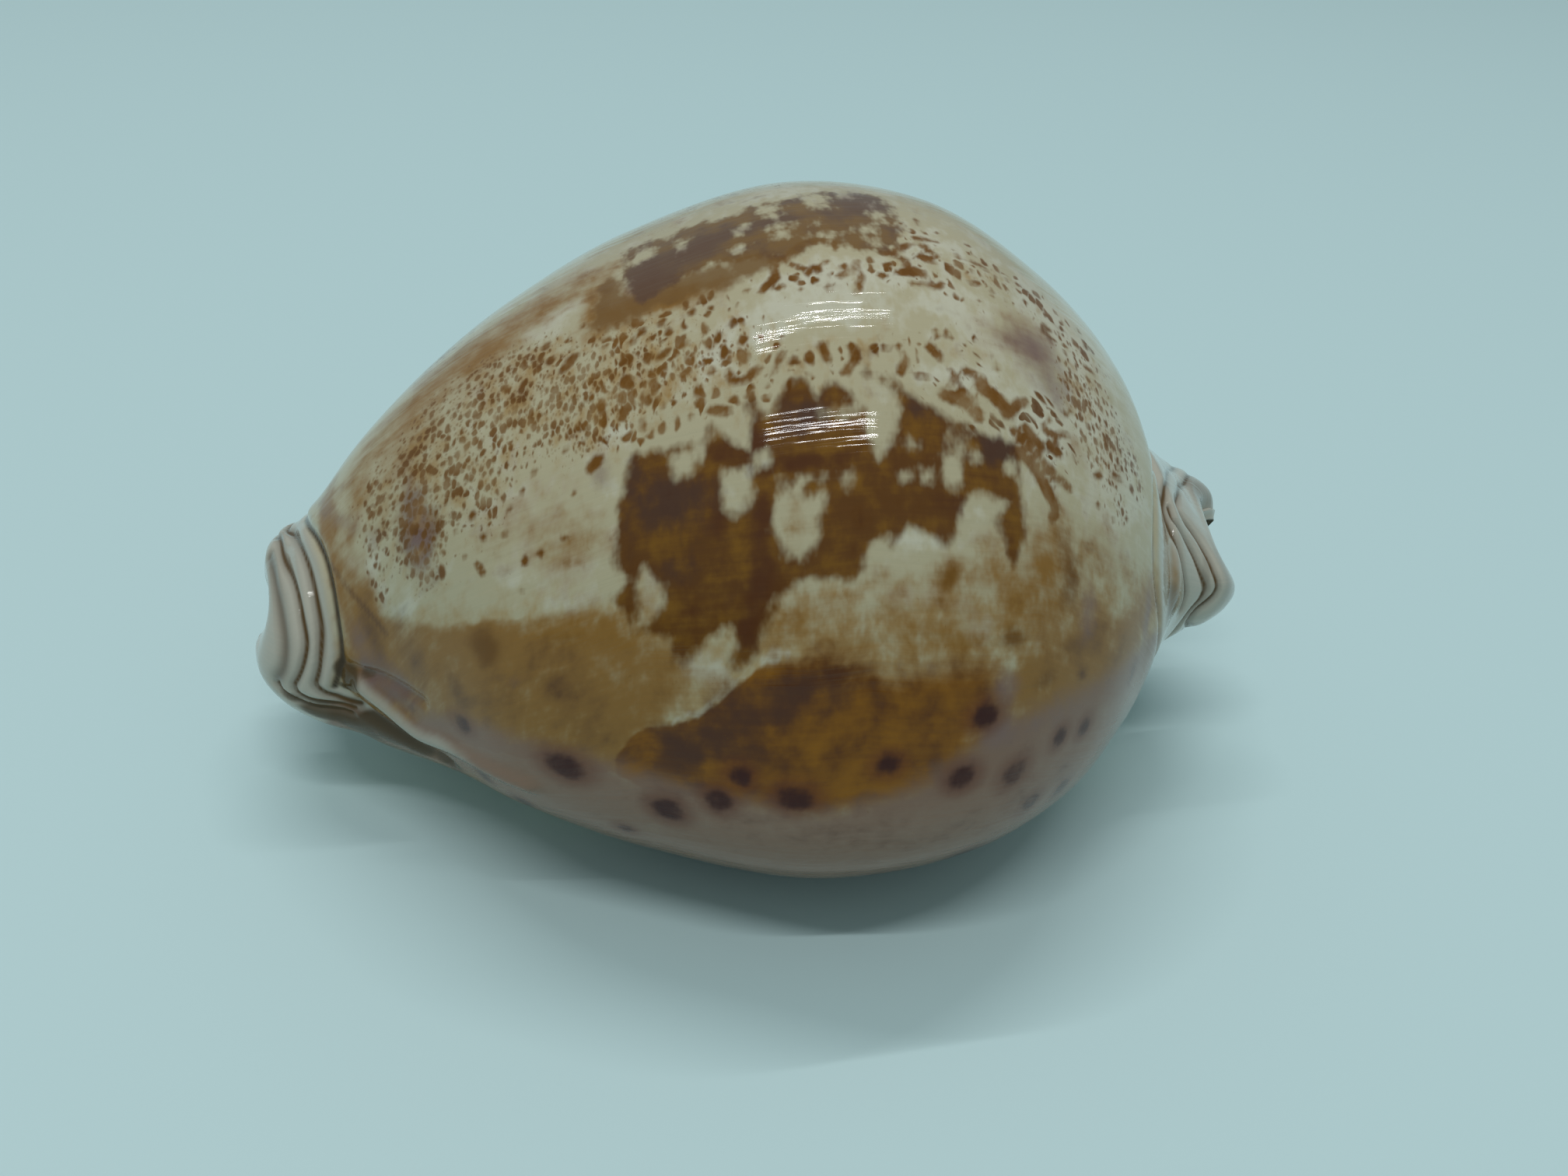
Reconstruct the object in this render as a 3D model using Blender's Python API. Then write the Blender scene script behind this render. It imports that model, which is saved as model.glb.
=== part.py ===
"""Cowrie shell: one hollow, thick-walled piece that grew whole, resting on its toothed base.

The front canal points along -X, the back canal and the hidden spire along +X, and the humped
back is up. The near side (-Y) is the inner-lip side, and the far side (+Y) the outer-lip side.
Sizes are in millimetres, and the mesh is made in metres. The shell is a loft: each section is
one closed outline of the wall, which runs over the outer skin from the near lip of the slit,
round the far lip into the cavity, and back to the near lip.
"""

import math
from collections import namedtuple

import bmesh
import bpy
import numpy as np
from mathutils import Vector

MM = 0.001
CENTRE_X = 1.25  # puts the middle of the finished shell's box over the origin
CENTRE_Y = -1.2
GROUND = 0.4  # the lips are worn flat at this height, which is where the shell rests

# Each section: x, height of the back, of the base and of the widest level, y of the near side,
# of the far side and of the slit, half width of the slit, lean (mm forward for each mm up from
# the widest level), and how much higher than the near lip the far lip is.
Section = namedtuple("Section", "x top base level near far slit half_gap lean rise")
SECTIONS = (
    # front canal: its mouth, the crest of its rim, the flange and the crease behind the flange
    Section(-33.5, 12.5, 8.5, 11.0, -1.0, 3.5, 1.5, 0.9, 0.0, 0.5),
    Section(-33.7, 14.5, 8.0, 11.0, -2.5, 5.5, 1.5, 1.0, 0.0, 0.8),
    Section(-33.0, 16.5, 7.5, 11.3, -5.5, 7.0, 1.5, 1.2, -0.05, 1.4),
    Section(-31.7, 17.5, 6.4, 11.5, -7.5, 8.0, 1.3, 1.4, -0.1, 2.4),
    Section(-30.0, 18.0, 5.1, 11.5, -8.6, 8.2, 1.0, 1.5, -0.2, 2.9),
    Section(-28.2, 19.2, 4.0, 11.5, -9.0, 8.5, 0.8, 1.6, -0.28, 3.2),
    # the humped body
    Section(-26.2, 21.0, 3.2, 10.5, -9.5, 9.0, 0.4, 1.7, -0.26, 3.2),
    Section(-23.0, 25.2, 3.0, 11.5, -12.0, 11.8, 0.0, 1.8, -0.2, 2.8),
    Section(-20.0, 29.4, 2.9, 14.5, -15.5, 16.0, -0.5, 1.7, -0.1, 2.2),
    Section(-15.5, 34.0, 2.8, 16.5, -20.0, 20.2, -1.0, 1.6, 0.0, 1.0),
    Section(-8.0, 38.4, 0.5, 17.0, -23.6, 24.0, -1.5, 1.5, 0.0, 0.4),
    Section(2.0, 42.0, -0.4, 16.5, -27.0, 24.7, -1.5, 1.4, 0.0, 0.0),
    Section(11.5, 41.0, 0.2, 16.5, -26.0, 23.6, -1.2, 1.4, 0.0, 0.0),
    Section(19.0, 36.5, 1.6, 16.5, -21.6, 21.0, -0.8, 1.3, 0.0, 0.3),
    Section(24.0, 31.0, 4.0, 16.5, -16.3, 17.2, -0.4, 1.3, 0.03, 0.6),
    # the crease in front of the back flange, the flange, the crest of its rim and its mouth
    Section(26.2, 25.0, 5.4, 16.5, -13.4, 14.2, -0.1, 1.3, 0.1, 0.3),
    Section(27.6, 24.0, 7.0, 17.5, -11.4, 12.4, 0.1, 1.4, 0.14, 0.2),
    Section(29.2, 22.6, 9.0, 17.2, -9.6, 11.4, 0.3, 1.5, 0.12, -0.2),
    Section(30.8, 21.5, 10.0, 17.0, -8.5, 10.8, 0.5, 1.4, 0.08, -0.2),
    Section(32.5, 20.2, 10.6, 16.9, -7.9, 9.3, 0.8, 1.2, 0.04, -0.3),
    Section(34.0, 19.5, 11.2, 16.0, -6.3, 8.0, 1.0, 0.9, 0.0, -0.2),
    Section(34.8, 18.5, 12.0, 15.0, -4.4, 6.2, 1.0, 0.7, 0.0, 0.0),
    Section(34.0, 16.6, 13.2, 14.7, -1.6, 4.0, 1.0, 0.6, 0.0, 0.2),
)
LAST = len(SECTIONS) - 1

# How far the two rims stand out at nine stops around them, from the near lip over the back to
# the far lip: the back rim has a lobe on each side and a notch between them.
FRONT_REACH = (0.2, 0.2, 0.6, -1.4, 0.0, -0.2, 0.2, -1.6, -1.2)
BACK_REACH = (0.5, 0.4, 0.4, -2.0, -1.2, 2.3, 2.4, 1.0, 0.3)
REACH_SECTIONS = 5  # sections over which that fades out
STOPS = len(BACK_REACH) - 1

# Part of each section that the cavity takes: section number, then to the sides, up and down.
# It is all of it at the two mouths, where the outer skin turns in.
CAVITY = (
    (0, 1.0, 1.0, 1.0),
    (1, 0.72, 0.45, 0.75),
    (3, 0.32, 0.35, 0.5),
    (5, 0.33, 0.4, 0.48),
    (7, 0.5, 0.62, 0.5),
    (9, 0.74, 0.85, 0.58),
    (11, 0.81, 0.89, 0.64),
    (13, 0.78, 0.86, 0.6),
    (15, 0.54, 0.6, 0.48),
    (17, 0.36, 0.42, 0.42),
    (20, 0.42, 0.45, 0.55),
    (21, 0.7, 0.7, 0.75),
    (22, 1.0, 1.0, 1.0),
)

BASE_ROUND = 2.25  # superellipse power of the lower half: 2 is an ellipse, and more is boxier
LIP_ROUND = 1.5  # radius with which the base rolls into the slit
RIM_FADE = 1.5  # power with which the rims' reach fades out

TEETH = 18
FIRST_TOOTH = -27.0  # x of the first and of the last tooth
LAST_TOOTH = 27.0
TOOTH_DEPTH = 0.5  # depth of the grooves between the teeth
TOOTH_REACH = 3.0  # how far a groove runs out over the base

SIDE_STEPS = 7  # steps in each quarter of a section
LIP_STEPS = 3  # steps over the wall of the slit
RIM_STEP = 0.5  # step along the rims and flanges, in sections


def through(rows, u):
    """A smooth curve through the rows, read at the fractional row number u."""
    rows = np.asarray(rows, float)
    last = len(rows) - 1
    i = min(int(u), last - 1)
    f = u - i
    a, b = rows[i], rows[i + 1]
    before = rows[i - 1] if i > 0 else 2 * a - b
    after = rows[i + 2] if i < last - 1 else 2 * b - a
    bend = 2 * before - 5 * a + 4 * b - after + f * (3 * (a - b) + after - before)
    return a + 0.5 * f * (b - before + f * bend)


def section_at(u):
    return Section(*through(SECTIONS, u))


def cavity_at(u):
    """The part of section u that the cavity takes to the sides, up and down."""
    numbers = [row[0] for row in CAVITY]
    return [np.interp(u, numbers, [row[k] for row in CAVITY]) for k in (1, 2, 3)]


def rim_reach(u, t):
    """How far the rims' lobes and notches push section u out along X, at the place t."""
    front = max(0.0, 1 - u / REACH_SECTIONS) ** RIM_FADE
    back = max(0.0, 1 - (LAST - u) / REACH_SECTIONS) ** RIM_FADE
    reach = 0.0
    if front > 0:
        reach -= front * through(FRONT_REACH, t * STOPS)
    if back > 0:
        reach += back * through(BACK_REACH, t * STOPS)
    return reach


def rim_round(u):
    """0 at the mouths and 1 from the next section on: the lips thin out into the rims."""
    return min(1.0, u, LAST - u)


def skin_point(u, t, parts=(1, 1, 1), lip=LIP_ROUND):
    """A point of the outer skin, or of the cavity, at section u. t runs from 0 at the near lip,
    over the near side (0.25), the back (0.5) and the far side (0.75), to 1 at the far lip."""
    s = section_at(u)
    side, up, down = parts
    near = t < 0.5
    edge = s.half_gap + lip * rim_round(u)
    width = side * (s.slit - s.near if near else s.far - s.slit)
    quarter = t / 0.25 if near else (1 - t) / 0.25
    if quarter < 1:
        angle = (1 - quarter) * math.acos(min(0.95, edge / width))
        out = math.cos(angle) ** (2 / BASE_ROUND) if quarter > 0 else edge / width
        drop = down * (s.level - s.base - (0 if near else s.rise))
        z = s.level - drop * math.sin(angle) ** (2 / BASE_ROUND)
    else:
        angle = (quarter - 1) * math.pi / 2
        out = math.cos(angle)
        z = s.level + up * (s.top - s.level) * math.sin(angle)
    x = s.x + s.lean * (z - s.level) + rim_reach(u, t)
    y = s.slit - width * out if near else s.slit + width * out
    return Vector((x, y, z))


def groove(u):
    """0 on a tooth, 1 midway between two teeth, and 0 beyond the toothed stretch."""
    x = section_at(u).x
    if not FIRST_TOOTH < x < LAST_TOOTH:
        return 0.0
    pitch = (LAST_TOOTH - FIRST_TOOTH) / (TEETH - 1)
    return 0.5 - 0.5 * math.cos(2 * math.pi * (x - FIRST_TOOTH) / pitch)


def outer_point(u, t):
    """The outer skin, with the grooves between the teeth and the flat that the shell rests on."""
    point = skin_point(u, t)
    if t < 0.25 or t > 0.75:
        s = section_at(u)
        from_lip = abs(point.y - s.slit) - s.half_gap - LIP_ROUND
        point.z += TOOTH_DEPTH * groove(u) * max(0.0, 1 - max(0.0, from_lip) / TOOTH_REACH)
    point.z = max(point.z, GROUND)
    return point


def cavity_point(u, t):
    return skin_point(u, t, parts=cavity_at(u), lip=0)


def lip_point(u, t, q):
    """The wall of the slit at the near lip (t 0) or the far lip (t 1). q runs from 0 at the
    outer skin, round the lip, and up the wall to 1 at the cavity."""
    start = outer_point(u, t)
    end = cavity_point(u, t)
    across = 1 if t < 0.5 else -1
    turn = min(1.0, 2 * q) * math.pi / 2
    radius = LIP_ROUND * rim_round(u)
    point = start.copy()
    point.y += across * (radius - TOOTH_DEPTH * groove(u) * (1 - q)) * math.sin(turn)
    point.z += min(radius, (end.z - start.z) / 2) * (1 - math.cos(turn))
    return point.lerp(end, max(0.0, 2 * q - 1))


def outline_point(u, column):
    """The closed outline of the wall: outer skin, far lip, cavity and near lip."""
    skin = 4 * SIDE_STEPS
    if column <= skin:
        return outer_point(u, column / skin)
    if column < skin + LIP_STEPS:
        return lip_point(u, 1, (column - skin) / LIP_STEPS)
    if column <= 2 * skin + LIP_STEPS:
        return cavity_point(u, 1 - (column - skin - LIP_STEPS) / skin)
    return lip_point(u, 0, 1 - (column - 2 * skin - LIP_STEPS) / LIP_STEPS)


def section_numbers():
    """Where the rows of vertices go: close together at the rims, and one on each tooth and in
    each groove of the toothed stretch."""
    first, last = 5, LAST - 6
    numbers = np.linspace(first, last, 40 * (last - first) + 1)
    along = [section_at(u).x for u in numbers]
    toothed = np.interp(np.linspace(FIRST_TOOTH, LAST_TOOTH, 2 * TEETH - 1), along, numbers)
    steps = np.arange(0, LAST + RIM_STEP / 2, RIM_STEP)
    front = [u for u in steps if u < toothed[0] - RIM_STEP / 2]
    back = [u for u in steps if u > toothed[-1] + RIM_STEP / 2]
    return [*front, *toothed, *back]


def make_shell(collection):
    rows = section_numbers()
    columns = 2 * (4 * SIDE_STEPS + LIP_STEPS)
    centre = Vector((CENTRE_X, CENTRE_Y, GROUND))
    bm = bmesh.new()
    bmesh.ops.create_grid(bm, x_segments=len(rows) - 1, y_segments=columns, size=1)
    for vert in bm.verts:
        row = round((vert.co.x + 1) / 2 * (len(rows) - 1))
        column = round((vert.co.y + 1) / 2 * columns)
        vert.co = (outline_point(rows[row], column) - centre) * MM
    bmesh.ops.remove_doubles(bm, verts=bm.verts, dist=1e-6)
    bmesh.ops.recalc_face_normals(bm, faces=bm.faces)
    mesh = bpy.data.meshes.new("shell")
    bm.to_mesh(mesh)
    bm.free()
    mesh.shade_smooth()
    mesh.materials.append(make_porcelain())
    collection.objects.link(bpy.data.objects.new("shell", mesh))


def make_porcelain():
    material = bpy.data.materials.new("cowrie porcelain")
    material.use_nodes = True
    shader = material.node_tree.nodes["Principled BSDF"]
    shader.inputs["Base Color"].default_value = (0.35, 0.24, 0.13, 1)
    shader.inputs["Roughness"].default_value = 0.15
    shader.inputs["Metallic"].default_value = 0
    return material


for leftover in list(bpy.data.objects):
    bpy.data.objects.remove(leftover)
cowrie = bpy.data.collections.new("cowrie shell")
bpy.context.scene.collection.children.link(cowrie)
make_shell(cowrie)
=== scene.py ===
import math

import bmesh
import bpy
import numpy as np
from mathutils import Quaternion, Matrix, Vector


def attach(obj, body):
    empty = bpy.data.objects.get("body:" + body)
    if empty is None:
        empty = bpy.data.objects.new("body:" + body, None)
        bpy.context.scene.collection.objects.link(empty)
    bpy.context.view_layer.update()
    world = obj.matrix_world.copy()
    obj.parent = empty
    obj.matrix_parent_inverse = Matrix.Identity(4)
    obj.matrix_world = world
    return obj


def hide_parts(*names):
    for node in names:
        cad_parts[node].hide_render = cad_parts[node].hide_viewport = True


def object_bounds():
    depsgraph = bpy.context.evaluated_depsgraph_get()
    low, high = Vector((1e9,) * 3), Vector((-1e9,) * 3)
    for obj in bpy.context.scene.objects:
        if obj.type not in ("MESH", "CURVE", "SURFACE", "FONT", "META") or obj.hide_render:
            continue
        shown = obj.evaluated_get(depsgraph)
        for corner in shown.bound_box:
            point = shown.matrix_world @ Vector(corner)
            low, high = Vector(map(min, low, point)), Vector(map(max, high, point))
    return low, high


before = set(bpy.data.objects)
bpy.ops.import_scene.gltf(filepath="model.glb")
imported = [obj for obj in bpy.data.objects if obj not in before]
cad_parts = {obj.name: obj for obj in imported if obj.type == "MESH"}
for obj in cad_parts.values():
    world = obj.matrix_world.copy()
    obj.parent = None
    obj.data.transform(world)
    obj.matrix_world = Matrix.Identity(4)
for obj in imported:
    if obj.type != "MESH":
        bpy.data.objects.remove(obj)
cad_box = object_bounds()

# ---------------------------------------------------------------------------------------------
# The camera. It stands close in front of the shell and to the left of its middle, looks down on
# it at about a third of a right angle, and is tipped a little to one side, as a hand holds it.
MM = 0.001
CAMERA_PLACE = (-11.55, -86.2, 69.3)
CAMERA_PITCH = 32.7
CAMERA_HEADING = 8.6
CAMERA_ROLL = 3.0

camera_data = bpy.data.cameras.new("camera")
camera_data.lens = 33.0
camera_data.sensor_width = 36.0
camera_data.clip_start = 0.005
camera = bpy.data.objects.new("camera", camera_data)
camera.matrix_world = (
    Matrix.Translation(Vector(CAMERA_PLACE) * MM)
    @ Matrix.Rotation(math.radians(-CAMERA_HEADING), 4, "Z")
    @ Matrix.Rotation(math.radians(90 - CAMERA_PITCH), 4, "X")
    @ Matrix.Rotation(math.radians(CAMERA_ROLL), 4, "Z")
)
bpy.context.scene.collection.objects.link(camera)
bpy.context.scene.camera = camera

# ---------------------------------------------------------------------------------------------
# The shell's wall: one grown piece of porcelain. It is a grid wrapped into a loft: each section
# is a closed outline that runs over the outer skin from the near lip of the slit, round the far
# lip into the cavity and back, and at the two canal mouths the outer skin turns in and meets it.
# Columns of the table: x, height of the back, of the base and of the widest level, y of the
# near side, the far side and the slit, half width of the slit, lean, and rise of the far lip.
SECTIONS = np.array((
    (-33.5, 12.5, 8.5, 11.0, -1.0, 3.5, 1.5, 0.9, 0.0, 0.5),
    (-33.7, 14.5, 8.0, 11.0, -2.5, 5.5, 1.5, 1.0, 0.0, 0.8),
    (-33.0, 16.5, 7.5, 11.3, -5.5, 7.0, 1.5, 1.2, -0.05, 1.4),
    (-31.7, 17.5, 6.4, 11.5, -7.5, 8.0, 1.3, 1.4, -0.1, 2.4),
    (-30.0, 18.0, 5.1, 11.5, -8.6, 8.2, 1.0, 1.5, -0.2, 2.9),
    (-28.2, 19.2, 4.0, 11.5, -9.0, 8.5, 0.8, 1.6, -0.28, 3.2),
    (-26.2, 21.0, 3.2, 10.5, -9.5, 9.0, 0.4, 1.7, -0.26, 3.2),
    (-23.0, 25.2, 3.0, 11.5, -12.0, 11.8, 0.0, 1.8, -0.2, 2.8),
    (-20.0, 29.4, 2.9, 14.5, -15.5, 16.0, -0.5, 1.7, -0.1, 2.2),
    (-15.5, 34.0, 2.8, 16.5, -20.0, 20.2, -1.0, 1.6, 0.0, 1.0),
    (-8.0, 38.4, 0.5, 17.0, -23.6, 24.0, -1.5, 1.5, 0.0, 0.4),
    (2.0, 42.0, -0.4, 16.5, -27.0, 24.7, -1.5, 1.4, 0.0, 0.0),
    (11.5, 41.0, 0.2, 16.5, -26.0, 23.6, -1.2, 1.4, 0.0, 0.0),
    (19.0, 36.5, 1.6, 16.5, -21.6, 21.0, -0.8, 1.3, 0.0, 0.3),
    (24.0, 31.0, 4.0, 16.5, -16.3, 17.2, -0.4, 1.3, 0.03, 0.6),
    (26.2, 25.0, 5.4, 16.5, -13.4, 14.2, -0.1, 1.3, 0.1, 0.3),
    (27.6, 24.0, 7.0, 17.5, -11.4, 12.4, 0.1, 1.4, 0.14, 0.2),
    (29.2, 22.6, 9.0, 17.2, -9.6, 11.4, 0.3, 1.5, 0.12, -0.2),
    (30.8, 21.5, 10.0, 17.0, -8.5, 10.8, 0.5, 1.4, 0.08, -0.2),
    (32.5, 20.2, 10.6, 16.9, -7.9, 9.3, 0.8, 1.2, 0.04, -0.3),
    (34.0, 19.5, 11.2, 16.0, -6.3, 8.0, 1.0, 0.9, 0.0, -0.2),
    (34.8, 18.5, 12.0, 15.0, -4.4, 6.2, 1.0, 0.7, 0.0, 0.0),
    (34.0, 16.6, 13.2, 14.7, -1.6, 4.0, 1.0, 0.6, 0.0, 0.2),
))
LAST = len(SECTIONS) - 1
CENTRE = np.array((1.25, -1.2, 0.4))  # from the table's origin to the finished shell's
# How far the two ends' rims reach outwards, from the near lip over the back to the far lip. The
# reach fades out over the sections next to each end.
FRONT_REACH = np.array((0.2, 0.2, 0.6, -1.4, 0.0, -0.2, 0.2, -1.6, -1.2))
BACK_REACH = np.array((0.5, 0.4, 0.4, -2.0, -1.2, 2.3, 2.4, 1.0, 0.3))
REACH_SECTIONS = 5
# The hollow inside: section number, then its width, height above the widest level and depth
# below it, each as a share of the outer skin's.
CAVITY = np.array((
    (0, 1.0, 1.0, 1.0),
    (1, 0.72, 0.45, 0.75),
    (3, 0.32, 0.35, 0.5),
    (5, 0.33, 0.4, 0.48),
    (7, 0.5, 0.62, 0.5),
    (9, 0.74, 0.85, 0.58),
    (11, 0.81, 0.89, 0.64),
    (13, 0.78, 0.86, 0.6),
    (15, 0.54, 0.6, 0.48),
    (17, 0.36, 0.42, 0.42),
    (20, 0.42, 0.45, 0.55),
    (21, 0.7, 0.7, 0.75),
    (22, 1.0, 1.0, 1.0),
))
BASE_ROUND = 2.25  # 2 would make the base's outline half an ellipse, and more makes it squarer
LIP_ROUND = 1.5
TEETH = 18
FIRST_TOOTH, LAST_TOOTH = -27.0, 27.0
TOOTH_DEPTH = 0.5
TOOTH_REACH = 3.0


def through(table, where):
    """Reads a smooth curve through the rows of a table at fractional row numbers."""
    table = table.reshape(len(table), -1)
    i = np.clip(np.floor(where).astype(int), 0, len(table) - 2)
    f = (where - i)[..., None]
    padded = np.vstack((2 * table[0] - table[1], table, 2 * table[-1] - table[-2]))
    before, a, b, after = (padded[i + k] for k in range(4))
    bend = 2 * before - 5 * a + 4 * b - after + f * (3 * (a - b) + after - before)
    return a + 0.5 * f * (b - before + f * bend)


def skin(u, t, parts=None, lip=LIP_ROUND):
    """Places on the outer skin, or on the cavity's, in millimetres. u is a section number and t
    runs from 0 at the near lip over the near side (0.25), the back (0.5) and the far side (0.75)
    to 1 at the far lip."""
    x, top, base, level, near, far, slit, gap, lean, rise = np.moveaxis(through(SECTIONS, u), -1, 0)
    side, up, down = (1.0, 1.0, 1.0) if parts is None else parts
    on_near = t < 0.5
    edge = gap + lip * np.clip(np.minimum(u, LAST - u), 0, 1)
    width = side * np.where(on_near, slit - near, far - slit)
    quarter = np.where(on_near, t, 1 - t) / 0.25
    low = np.arccos(np.clip(edge / width, 0, 0.95)) * np.clip(1 - quarter, 0, 1)
    high = np.clip(quarter - 1, 0, 1) * np.pi / 2
    out = np.where(quarter < 1, np.cos(low) ** (2 / BASE_ROUND), np.cos(high))
    out = np.where(quarter < 1e-6, edge / width, out)
    drop = down * (level - base - np.where(on_near, 0, rise)) * np.sin(low) ** (2 / BASE_ROUND)
    z = level - drop + up * (top - level) * np.sin(high)
    y = slit + np.where(on_near, -1, 1) * width * out
    front = np.clip(1 - u / REACH_SECTIONS, 0, 1) ** 1.5
    back = np.clip(1 - (LAST - u) / REACH_SECTIONS, 0, 1) ** 1.5
    stop = t * (len(BACK_REACH) - 1)
    x = x + lean * (z - level) - front * through(FRONT_REACH, stop)[..., 0]
    x = x + back * through(BACK_REACH, stop)[..., 0]
    return np.stack((x, y, z), -1)


def groove(u):
    """0 on a tooth of the slit's lips, 1 midway between two teeth, 0 beyond the last ones."""
    x = through(SECTIONS[:, :1], u)[..., 0]
    turns = (x - FIRST_TOOTH) / (LAST_TOOTH - FIRST_TOOTH) * (TEETH - 1)
    wave = 0.5 - 0.5 * np.cos(2 * np.pi * turns)
    return np.where((x > FIRST_TOOTH) & (x < LAST_TOOTH), wave, 0)


def outer(u, t):
    place = skin(u, t)
    slit, gap = np.moveaxis(through(SECTIONS[:, 6:8], u), -1, 0)
    from_lip = np.clip(np.abs(place[..., 1] - slit) - gap - LIP_ROUND, 0, None)
    fade = np.clip(1 - from_lip / TOOTH_REACH, 0, 1)
    place[..., 2] += TOOTH_DEPTH * groove(u) * fade * ((t < 0.25) | (t > 0.75))
    place[..., 2] = np.maximum(place[..., 2], CENTRE[2])
    return place


def cavity(u, t):
    parts = [np.interp(u, CAVITY[:, 0], CAVITY[:, k]) for k in (1, 2, 3)]
    return skin(u, t, parts, lip=0)


def lip(u, t, q):
    """The wall of the slit: q runs from 0 at the outer skin to 1 at the cavity."""
    start, end = outer(u, t), cavity(u, t)
    turn = np.minimum(1, 2 * q) * np.pi / 2
    radius = LIP_ROUND * np.clip(np.minimum(u, LAST - u), 0, 1)
    place = start.copy()
    across = np.where(t < 0.5, 1, -1)
    place[..., 1] += across * (radius - TOOTH_DEPTH * groove(u) * (1 - q)) * np.sin(turn)
    rise = np.minimum(radius, (end[..., 2] - start[..., 2]) / 2)
    place[..., 2] += rise * (1 - np.cos(turn))
    return place + (end - place) * np.clip(2 * q - 1, 0, 1)[..., None]


LIP_STEPS = 10
ROWS = 372
SKIN_STEPS = 220
CAVITY_STRIDE = 4  # the cavity's skin has one point for every four of the outer skin
FRONT_FLANGE_END, BACK_FLANGE_START = 6.5, 15  # section numbers
FLANGE_CROWDING = 1.6
SHOULDER = 0.35  # t of the line along which the rows are spaced out

# Rows crowd together over the two flanges, and columns over the near side and the back.
fine = np.linspace(0, LAST, 2001)
middle = (fine[1:] + fine[:-1]) / 2
run = np.linalg.norm(np.diff(skin(fine, np.full_like(fine, SHOULDER)), axis=0), axis=1)
on_flanges = (middle < FRONT_FLANGE_END) | (middle > BACK_FLANGE_START)
run *= np.where(on_flanges, FLANGE_CROWDING, 1)
row_section = np.interp(np.linspace(0, run.sum(), ROWS + 1), np.append(0, np.cumsum(run)), fine)
row_section[0], row_section[-1] = 0, LAST
COLUMN_STOPS = (0, 45, 175, SKIN_STEPS)
COLUMN_TURNS = (0, 0.2, 0.55, 1)
column_turn = np.interp(np.arange(SKIN_STEPS + 1), COLUMN_STOPS, COLUMN_TURNS)
loop_steps = 2 * (SKIN_STEPS + LIP_STEPS)

bm = bmesh.new()
bmesh.ops.create_grid(bm, x_segments=ROWS, y_segments=loop_steps, size=1)
grid = np.array([vert.co[:2] for vert in bm.verts])
row = np.rint((grid[:, 0] + 1) / 2 * ROWS).astype(int)
column = np.rint((grid[:, 1] + 1) / 2 * loop_steps).astype(int)
far_lip = (column > SKIN_STEPS) & (column < SKIN_STEPS + LIP_STEPS)
near_lip = column > 2 * SKIN_STEPS + LIP_STEPS
inward = (column >= SKIN_STEPS + LIP_STEPS) & ~near_lip
step = np.where(inward, 2 * SKIN_STEPS + LIP_STEPS - column, np.clip(column, 0, SKIN_STEPS))
step = np.where(near_lip, 0, step)
deep = inward & (row > CAVITY_STRIDE) & (row < ROWS - CAVITY_STRIDE)
inner = deep & (step > CAVITY_STRIDE) & (step < SKIN_STEPS - CAVITY_STRIDE)
row = np.where(inner, row // CAVITY_STRIDE * CAVITY_STRIDE, row)
step = np.where(inner, step // CAVITY_STRIDE * CAVITY_STRIDE, step)
u = row_section[row]
t = column_turn[step]
q = np.where(far_lip, (column - SKIN_STEPS) / LIP_STEPS, inward * 1.0)
q = np.where(near_lip, (loop_steps - column) / LIP_STEPS, q)
place = np.where(inward[:, None], cavity(u, t), outer(u, t))
on_wall = far_lip | near_lip
place[on_wall] = lip(u, t, q)[on_wall]
layers = [bm.verts.layers.float.new(name) for name in ("section", "turn", "depth")]
for vert, corner, *values in zip(bm.verts, place - CENTRE, u, t, q):
    vert.co = corner
    for layer, value in zip(layers, values):
        vert[layer] = value
bmesh.ops.remove_doubles(bm, verts=bm.verts, dist=1e-4)
bmesh.ops.recalc_face_normals(bm, faces=bm.faces)
bm.normal_update()
u, t, depth = (np.array([vert[layer] for vert in bm.verts]) for layer in layers)
skin_mm = np.array([vert.co for vert in bm.verts]) + CENTRE
normals = np.array([vert.normal for vert in bm.verts])
outside = depth < 0.5

# Marks are placed by x in millimetres and t in thousandths, and on a flange by section number and
# t. An oval adds its half length and half girth, and most add a strength, all three in tenths.
body_section = np.linspace(4, 18, 1401)
body_x = through(SECTIONS[:, :1], body_section)[:, 0]


def section_of(x):
    return np.interp(x, body_x, body_section)


x_mm = np.interp(u, body_section, body_x)


def curve(points, on_flange=False, steps=6):
    """Points of a smooth line over the skin, in section number and t."""
    points = np.reshape(points, (-1, 2)) / (1, 1000)
    if not on_flange:
        points[:, 0] = section_of(points[:, 0])
    where = np.linspace(0, len(points) - 1, (len(points) - 1) * steps + 1)
    return through(points, where)


def line_distance(points, reach=6.0):
    """How far each point of the skin lies from a line over it, in millimetres, up to reach."""
    track = skin(points[:, 0], points[:, 1])
    found = np.full(len(skin_mm), reach)
    low, high = track.min(0) - reach, track.max(0) + reach
    close = np.flatnonzero(outside & ((skin_mm > low) & (skin_mm < high)).all(1))
    spots = skin_mm[close]
    best = np.full(len(close), reach)
    for start, end in zip(track[:-1], track[1:]):
        span = end - start
        along = np.clip((spots - start) @ span / max(span @ span, 1e-9), 0, 1)
        best = np.minimum(best, np.linalg.norm(spots - start - along[:, None] * span, axis=1))
    found[close] = best
    return found


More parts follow.
